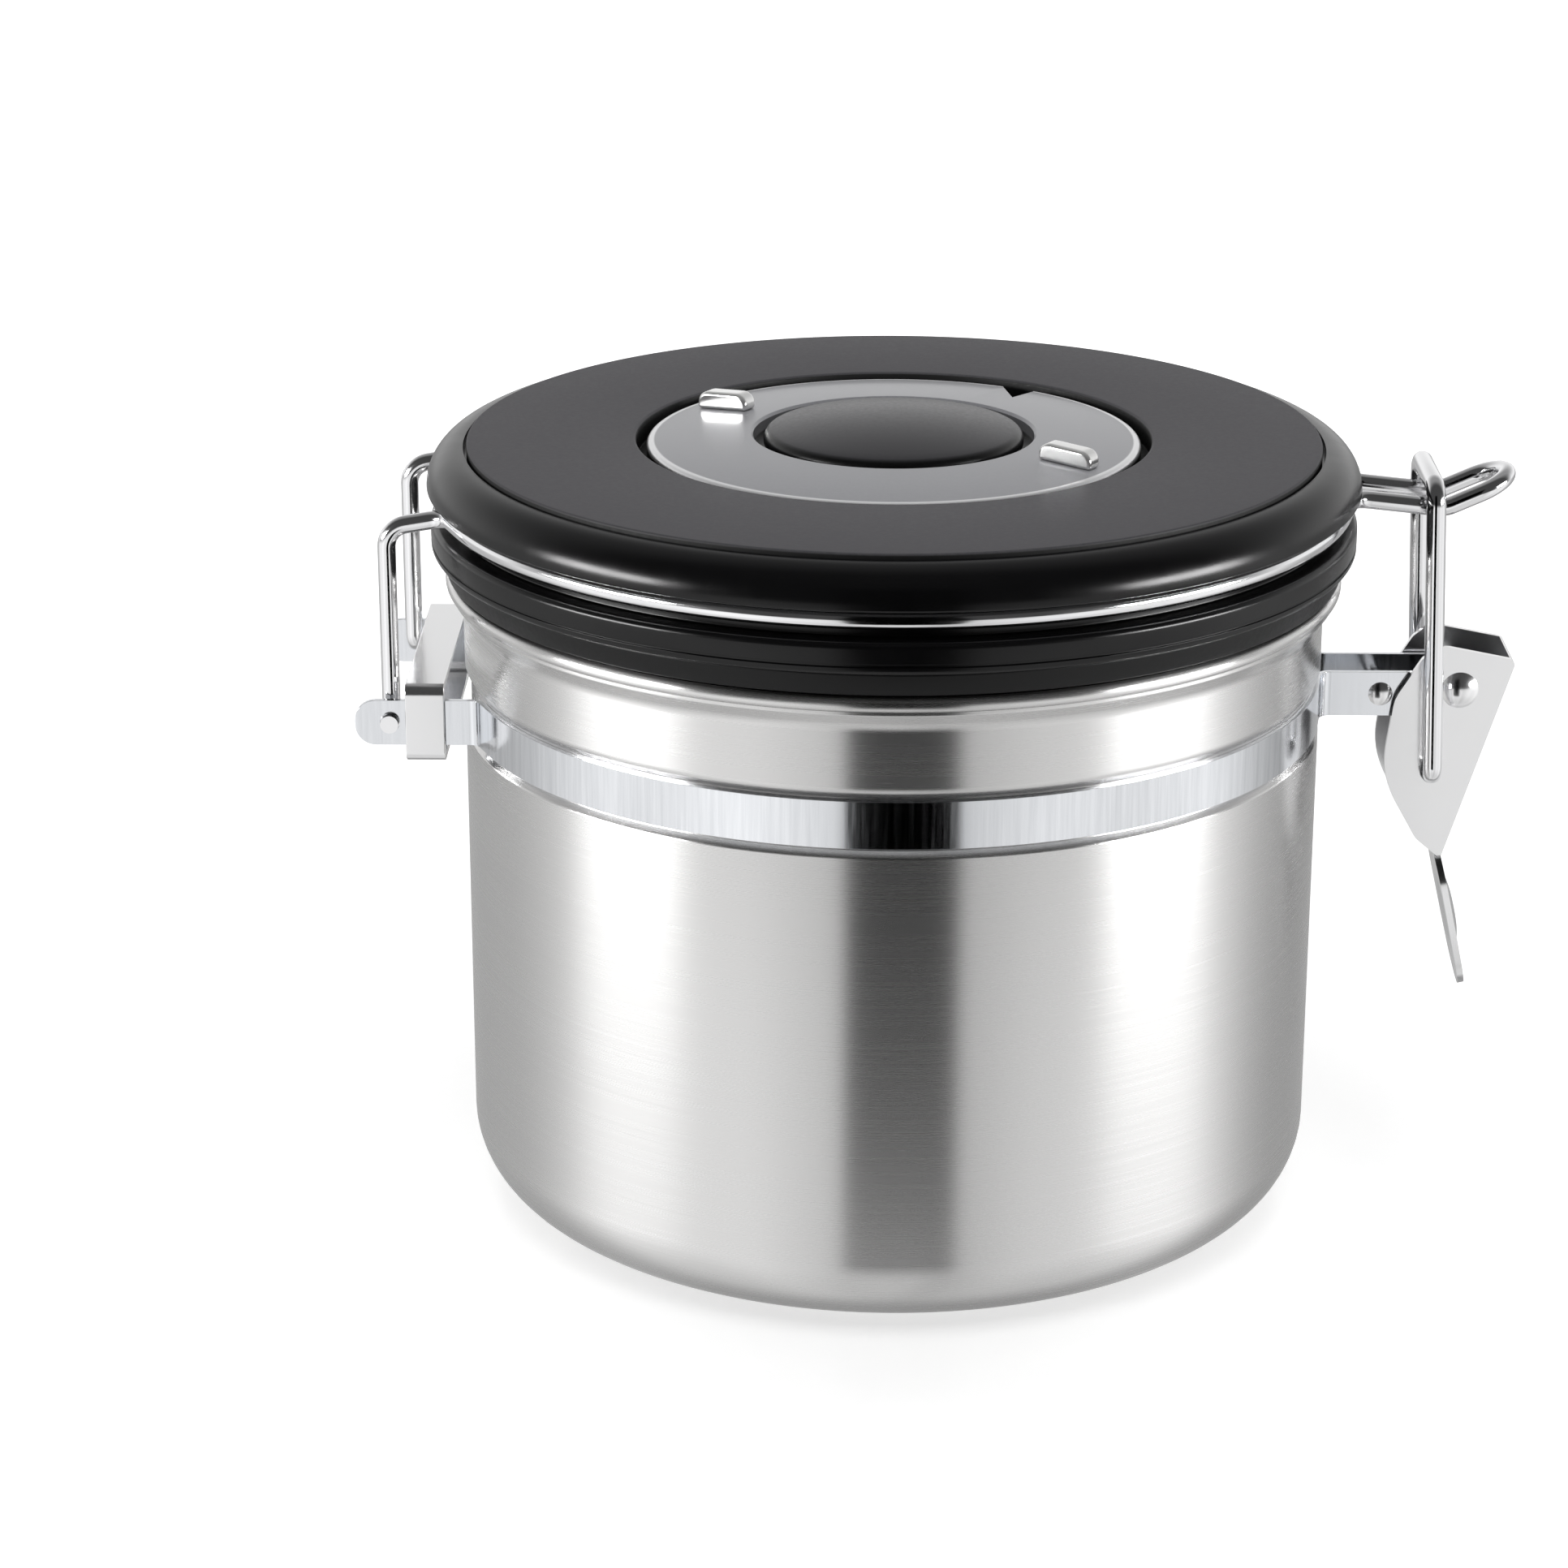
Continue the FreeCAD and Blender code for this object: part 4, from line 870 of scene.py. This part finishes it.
for turn in (0, 90):
    vent = pressedPiece("vent", [flatLoop(valve["hub"] + ventOver, valve["ventWidth"] / 2, 0)], capCharcoal,
                        capFoot - wellFloor + ventOver)
    vent.data.transform(Matrix.Rotation(math.radians(turn), 4, "Z")
                        @ Matrix.Translation((0, 0, (wellFloor - ventOver) * mm)))
    combine(valveCap, vent, "DIFFERENCE")
shade(valveCap)
place(valveCap, "lid", "matte_charcoal", "valve_cap")

collarTop = housingLow.z + valve["flange"]
seatLow = baseLow.z + valve["seatLift"]
seatTop = seatLow + valve["seat"]
guideTop = seatTop + valve["guideHeight"]
valveHousing = turnedPiece("valveHousing", [
    (0, seatLow, 0), (bore, seatLow, 0), (bore, housingLow.z, smallEdge), (housingHigh.x, housingLow.z, edge),
    (housingHigh.x, collarTop, edge), (valve["tube"], collarTop, 0), (valve["tube"], housingHigh.z, edge),
    (bore, housingHigh.z, edge), (bore, seatTop, 0), (valve["guide"], seatTop, 0), (valve["guide"], guideTop, edge),
    (0, guideTop, 0)], satinBlack, segments=96)
drillRing(valveHousing, satinBlack, valve["seatHole"], valve["seatRing"], valve["seatHoles"],
          (seatLow + seatTop) / 2, valve["seatDrill"])
shade(valveHousing)
place(valveHousing, "lid", "satin_black", "valve_housing")

gasketInner = valve["tube"] + fitGap
valveGasket = turnedPiece("valveGasket", [
    (gasketInner, gasketLow.z, 0), (gasketHigh.x, gasketLow.z, smallEdge), (gasketHigh.x, gasketHigh.z, smallEdge),
    (gasketInner, gasketHigh.z, 0)], blackSilicone, segments=96)
place(valveGasket, "lid", "black_silicone", "valve_gasket")

valveGuard = turnedPiece("valveGuard", [
    (0, guardLow.z, 0), (guardHigh.x, guardLow.z, edge), (guardHigh.x, guardHigh.z, 0), (0, guardHigh.z, 0)],
    satinBlack, segments=96)
for ringShare, holes in ((1, valve["guardHoles"]), (0.5, valve["guardHoles"] // 2)):
    drillRing(valveGuard, satinBlack, valve["guardHole"], valve["guardRing"] * ringShare, holes,
              (guardLow.z + guardHigh.z) / 2, valve["guardDrill"])
shade(valveGuard)
place(valveGuard, "lid", "satin_black", "valve_guard")

discBore = valve["guide"] + valve["discPlay"]
valveDisc = turnedPiece("valveDisc", [
    (discBore, discLow.z, 0), (discHigh.x, discLow.z, valve["discEdge"]),
    (discHigh.x, discHigh.z, valve["discEdge"]), (discBore, discHigh.z, 0)], clearSilicone, segments=72)
place(valveDisc, "flap", "clear_silicone", "valve_disc")
print("valve done")


# Latch lever: folded channel, pin and bail holes, and a dished thumb tab
lever = {"cheekInner": 4.95, "cheekOuter": 5.85, "sheet": 0.9, "size": 30.0, "tabLength": 21.9, "tabOverlap": 2.4,
         "tabAngle": 13.0, "tabHalf": 6.2, "neckHalf": 3.6, "neckShare": 0.3, "taper": 0.38, "tipShare": 0.72,
         "dishLength": 13.0, "dishWidth": 8.0, "dishDepth": 0.7, "dishShare": 0.52, "edge": 0.16}
cheekShares = [(-0.180, 0.150, 0.060), (-0.100, 0.215, 0.110), (0.257, 0.145, 0.030), (-0.045, -0.820, 0),
               (-0.070, -0.820, 0), (-0.172, -0.735, 0.120), (-0.350, -0.420, 0.450), (-0.300, -0.045, 0.200)]
size = lever["size"]
cheek = [((leverPlace.x + along * size, leverPlace.z + rise * size, 0), corner * size, 10 if corner else 1)
         for along, rise, corner in cheekShares]
latchLever = pressedPiece("latchLever", [cheek], dullSteel, lever["cheekOuter"] * 2)
# outline X and Y stand for X and Z, thickness runs along -Y from the rear cheek
upright = Matrix.Rotation(math.pi / 2, 4, "X")
latchLever.data.transform(Matrix.Translation((0, lever["cheekOuter"] * mm, 0)) @ upright)
weldMesh(latchLever.data)
webTop = Vector(cheek[2][0][:2])
webFoot = Vector(cheek[3][0][:2])
webDown = (webFoot - webTop).normalized()
webIn = Vector((webDown.y, -webDown.x))
hollowLoop = []
for along, depth in ((-size, lever["sheet"]), (size * 2, lever["sheet"]), (size * 2, size * 2), (-size, size * 2)):
    hollowLoop.append(((*(webTop + webDown * along + webIn * depth), 0), 0, 1))
hollow = pressedPiece("hollow", [hollowLoop], dullSteel, lever["cheekInner"] * 2)
hollow.data.transform(Matrix.Translation((0, lever["cheekInner"] * mm, 0)) @ upright)
weldMesh(hollow.data)
combine(latchLever, hollow, "DIFFERENCE")
drillAcross(latchLever, pin["radius"] + fitGap, leverPlace, 10)
drillAcross(latchLever, bail["radius"] + band["pinPlay"], bailPlace, 10)


def eased(share):
    return share * share * (3 - 2 * share)


def tabWidth(share):
    # half width along the tab: neck, shoulder, then a round tip
    neck, half = lever["neckHalf"], lever["tabHalf"]
    if share < lever["neckShare"]:
        return neck + (half - neck) * eased(share / lever["neckShare"])
    tip = (share - lever["neckShare"]) / (1 - lever["neckShare"])
    tipRound = max(tip - lever["tipShare"], 0) / (1 - lever["tipShare"])
    return half * (1 - lever["taper"] * tip ** 2) * math.sqrt(max(1 - tipRound ** 2, 0))


def tabMesh():
    tilt = math.radians(lever["tabAngle"])
    down = Vector((math.sin(tilt), 0, -math.cos(tilt)))
    inward = Vector((-math.cos(tilt), 0, -math.sin(tilt)))
    foot = Vector((webFoot.x, 0, webFoot.y)) - down * lever["tabOverlap"]
    rows, columns = 60, 24
    length = lever["tabLength"] + lever["tabOverlap"]
    verts, faces = [], []
    for face in range(2):
        for i in range(rows + 1):
            share = 1 - (1 - i / rows) ** 1.5  # rows crowd towards the tip
            width = max(tabWidth(share), 0.02)
            for k in range(columns + 1):
                sideways = (k / columns * 2 - 1) * width
                dishAlong = (share - lever["dishShare"]) * length / (lever["dishLength"] / 2)
                dishAcross = sideways / (lever["dishWidth"] / 2)
                sink = lever["dishDepth"] * eased(max(1 - dishAlong ** 2 - dishAcross ** 2, 0))
                point = foot + down * (share * length) + inward * (face * lever["sheet"] - sink)
                verts.append((point + Vector((0, sideways, 0))) * mm)
    stride = columns + 1
    back = (rows + 1) * stride
    for i in range(rows):
        for k in range(columns):
            a = i * stride + k
            faces.append((a, a + 1, a + stride + 1, a + stride))
            faces.append((back + a, back + a + stride, back + a + stride + 1, back + a + 1))
    border = list(range(columns + 1))
    border += [i * stride + columns for i in range(1, rows + 1)]
    border += [rows * stride + k for k in range(columns - 1, -1, -1)]
    border += [i * stride for i in range(rows - 1, 0, -1)]
    for a, b in zip(border, border[1:] + border[:1]):
        faces.append((b, a, back + a, back + b))
    piece = meshObject("thumbTab", verts, faces, dullSteel)
    weldMesh(piece.data)
    return piece


combine(latchLever, tabMesh(), "UNION")
softenEdges(latchLever, lever["edge"], angle=45)
shade(latchLever, 40, flat=True)
place(latchLever, "lever", "polished_steel", "latch_lever")
print("latch done")


# Stage: floor, studio surround, soft lamps and the camera
studio = {"floorHalf": 4.0, "floorColor": (0.86, 0.86, 0.86), "glowNear": 0.62, "glowFar": 1.0,
          "glowRange": (80, 420), "mirror": 0.18, "mirrorRange": (58, 125), "mirrorRoughness": 0.28,
          "cardX": (-0.062, 0.088), "cardY": -0.31, "cardZ": (-0.15, 0.35)}


def flatCard(name, corners, finish):
    card = meshObject(name, corners, [(0, 1, 2, 3)], finish)
    return card


def makeFloorFinish():
    # pale, mirroring the canister's foot, and glowing to white away from it for the camera alone
    material, tree, shader = newFinish("paleFloor", studio["floorColor"], 0.6)
    shader.inputs["Specular IOR Level"].default_value = 0
    path = addNode(tree, "ShaderNodeLightPath")
    far = ranged(tree, across(tree, "radius", *studio["glowRange"]), 0, 1, studio["glowNear"], studio["glowFar"])
    level = addNode(tree, "ShaderNodeMath", {0: path.outputs["Is Camera Ray"], 1: far}, operation="MULTIPLY")
    glow = addNode(tree, "ShaderNodeEmission", {"Strength": level.outputs["Value"]})
    pale = addNode(tree, "ShaderNodeAddShader", {0: shader.outputs["BSDF"], 1: glow.outputs["Emission"]})
    gloss = addNode(tree, "ShaderNodeBsdfGlossy", {"Roughness": studio["mirrorRoughness"]})
    foot = ranged(tree, across(tree, "radius", *studio["mirrorRange"]), 0, 1, studio["mirror"], 0)
    mix = addNode(tree, "ShaderNodeMixShader", {"Fac": foot, 1: pale.outputs["Shader"], 2: gloss.outputs["BSDF"]})
    tree.links.new(mix.outputs["Shader"], tree.nodes["Material Output"].inputs["Surface"])
    return material


half = studio["floorHalf"]
floor = flatCard("floor", [(-half, -half, 0), (half, -half, 0), (half, half, 0), (-half, half, 0)],
                 makeFloorFinish())
floor.visible_glossy = False

# a dark card before the pot, seen only in the steel's reflections
cardFinish, tree, shader = newFinish("darkCard", (0.0, 0.0, 0.0), 1.0)
shader.inputs["Specular IOR Level"].default_value = 0
(cardLeft, cardRight), (cardFoot, cardTop) = studio["cardX"], studio["cardZ"]
cardCorners = ((cardLeft, cardFoot), (cardRight, cardFoot), (cardRight, cardTop), (cardLeft, cardTop))
darkCard = flatCard("darkCard", [(x, studio["cardY"], z) for x, z in cardCorners], cardFinish)
darkCard.visible_camera = False
darkCard.visible_diffuse = False
darkCard.visible_shadow = False

# light round the pot by bearing in degrees, and where it fades by the Z or Y of its direction
surround = {"peak": 1.45, "below": 0.75, "belowRange": (-0.95, -0.45), "frontTop": 0.06, "backLow": 1.0,
            "backTop": 0.3, "backRange": (0.1, 0.8), "rearRange": (-0.1, 0.45), "horizon": (-0.15, 0.05)}
stops = [(0, 0.5), (30, 0.45), (60, 0.54), (72, 0.69), (82, 0.85), (91, 0.97), (99, 1.06), (107, 1.0),
         (121, 1.03), (128, 1.12), (135, 1.16), (142, 1.16), (155, 1.0), (165, 0.89), (172, 0.98), (180, 0.98),
         (188, 0.98), (195, 0.76), (206, 0.82), (219, 0.97), (233, 1.0), (240, 0.93), (255, 0.97),
         (263, 1.03), (272, 1.05), (282, 0.9), (293, 0.6), (307, 0.42), (330, 0.40), (360, 0.5)]


def faded(tree, source, name, low, high):
    return ranged(tree, source, *surround[name], low, high, "SMOOTHSTEP")


def mixed(tree, factor, first, second):
    return addNode(tree, "ShaderNodeMix", {"Factor": factor, 2: first, 3: second}).outputs[0]


def makeSurround():
    # soft light by bearing below the horizon, dimmer straight down, and a dim dome that is lighter behind
    world = bpy.data.worlds.new("studioSurround")
    world.use_nodes = True
    scene.world = world
    tree = world.node_tree
    coords = addNode(tree, "ShaderNodeTexCoord")
    axes = addNode(tree, "ShaderNodeSeparateXYZ", {"Vector": coords.outputs["Generated"]}).outputs
    front = addNode(tree, "ShaderNodeMath", {0: axes["Y"], 1: -1}, operation="MULTIPLY")
    bearing = addNode(tree, "ShaderNodeMath", {0: axes["X"], 1: front.outputs["Value"]}, operation="ARCTAN2")
    turn = ranged(tree, bearing.outputs["Value"], -math.pi, math.pi, 0, 1)
    around = addNode(tree, "ShaderNodeValToRGB", {"Fac": turn})
    peak = surround["peak"]
    ramp = around.color_ramp
    while len(ramp.elements) < len(stops):
        ramp.elements.new(0.5)
    for element, (angle, level) in zip(ramp.elements, stops):
        element.position = angle / 360
        element.color = (level / peak,) * 3 + (1,)
    downward = faded(tree, axes["Z"], "belowRange", peak * surround["below"], peak)
    lower = addNode(tree, "ShaderNodeMath", {0: around.outputs["Color"], 1: downward}, operation="MULTIPLY")
    behind = faded(tree, axes["Z"], "backRange", surround["backLow"], surround["backTop"])
    upper = mixed(tree, faded(tree, axes["Y"], "rearRange", 0, 1), surround["frontTop"], behind)
    light = mixed(tree, faded(tree, axes["Z"], "horizon", 0, 1), lower.outputs["Value"], upper)
    path = addNode(tree, "ShaderNodeLightPath")
    seen = mixed(tree, path.outputs["Is Camera Ray"], light, 1.0)
    tree.links.new(seen, tree.nodes["Background"].inputs["Color"])
    tree.nodes["Background"].inputs["Strength"].default_value = 1


makeSurround()

# the side boxes show in the gloss alone, the overhead box lights the rest
lamps = {"leftBox": {"spot": (-0.72, -0.26, 0.22), "size": (0.42, 0.16), "power": 5.4, "inGloss": True},
         "rightBox": {"spot": (0.72, -0.26, 0.20), "size": (0.42, 0.16), "power": 5.4, "inGloss": True},
         "overheadBox": {"spot": (0, -0.25, 1.1), "size": (0.9, 0.9), "power": 6.4, "inGloss": False}}
lampTarget = Vector((0, 0, 0.1))
for name, sizes in lamps.items():
    data = bpy.data.lights.new(name, "AREA")
    data.shape = "RECTANGLE"
    data.size, data.size_y = sizes["size"]
    data.energy = sizes["power"]
    lamp = newObject(name, data)
    lamp.location = sizes["spot"]
    lamp.rotation_euler = (lampTarget - Vector(sizes["spot"])).to_track_quat("-Z", "Y").to_euler()
    lamp.visible_camera = False
    lamp.visible_glossy = sizes["inGloss"]
    lamp.visible_diffuse = not sizes["inGloss"]

camera = {"place": (-7.2, -571.1, 258.7), "pitch": 19.38, "yaw": -0.8, "lens": 97.53, "sensor": 36, "clip": 0.01}
cameraData = bpy.data.cameras.new("photoCamera")
cameraData.lens = camera["lens"]
cameraData.sensor_width = camera["sensor"]
cameraData.clip_start = camera["clip"]
photoCamera = newObject("photoCamera", cameraData)
photoCamera.location = Vector(camera["place"]) * mm
photoCamera.rotation_euler = (math.radians(90 - camera["pitch"]), 0, math.radians(-camera["yaw"]))
scene.camera = photoCamera
scene.view_settings.view_transform = "Standard"
print("stage done")
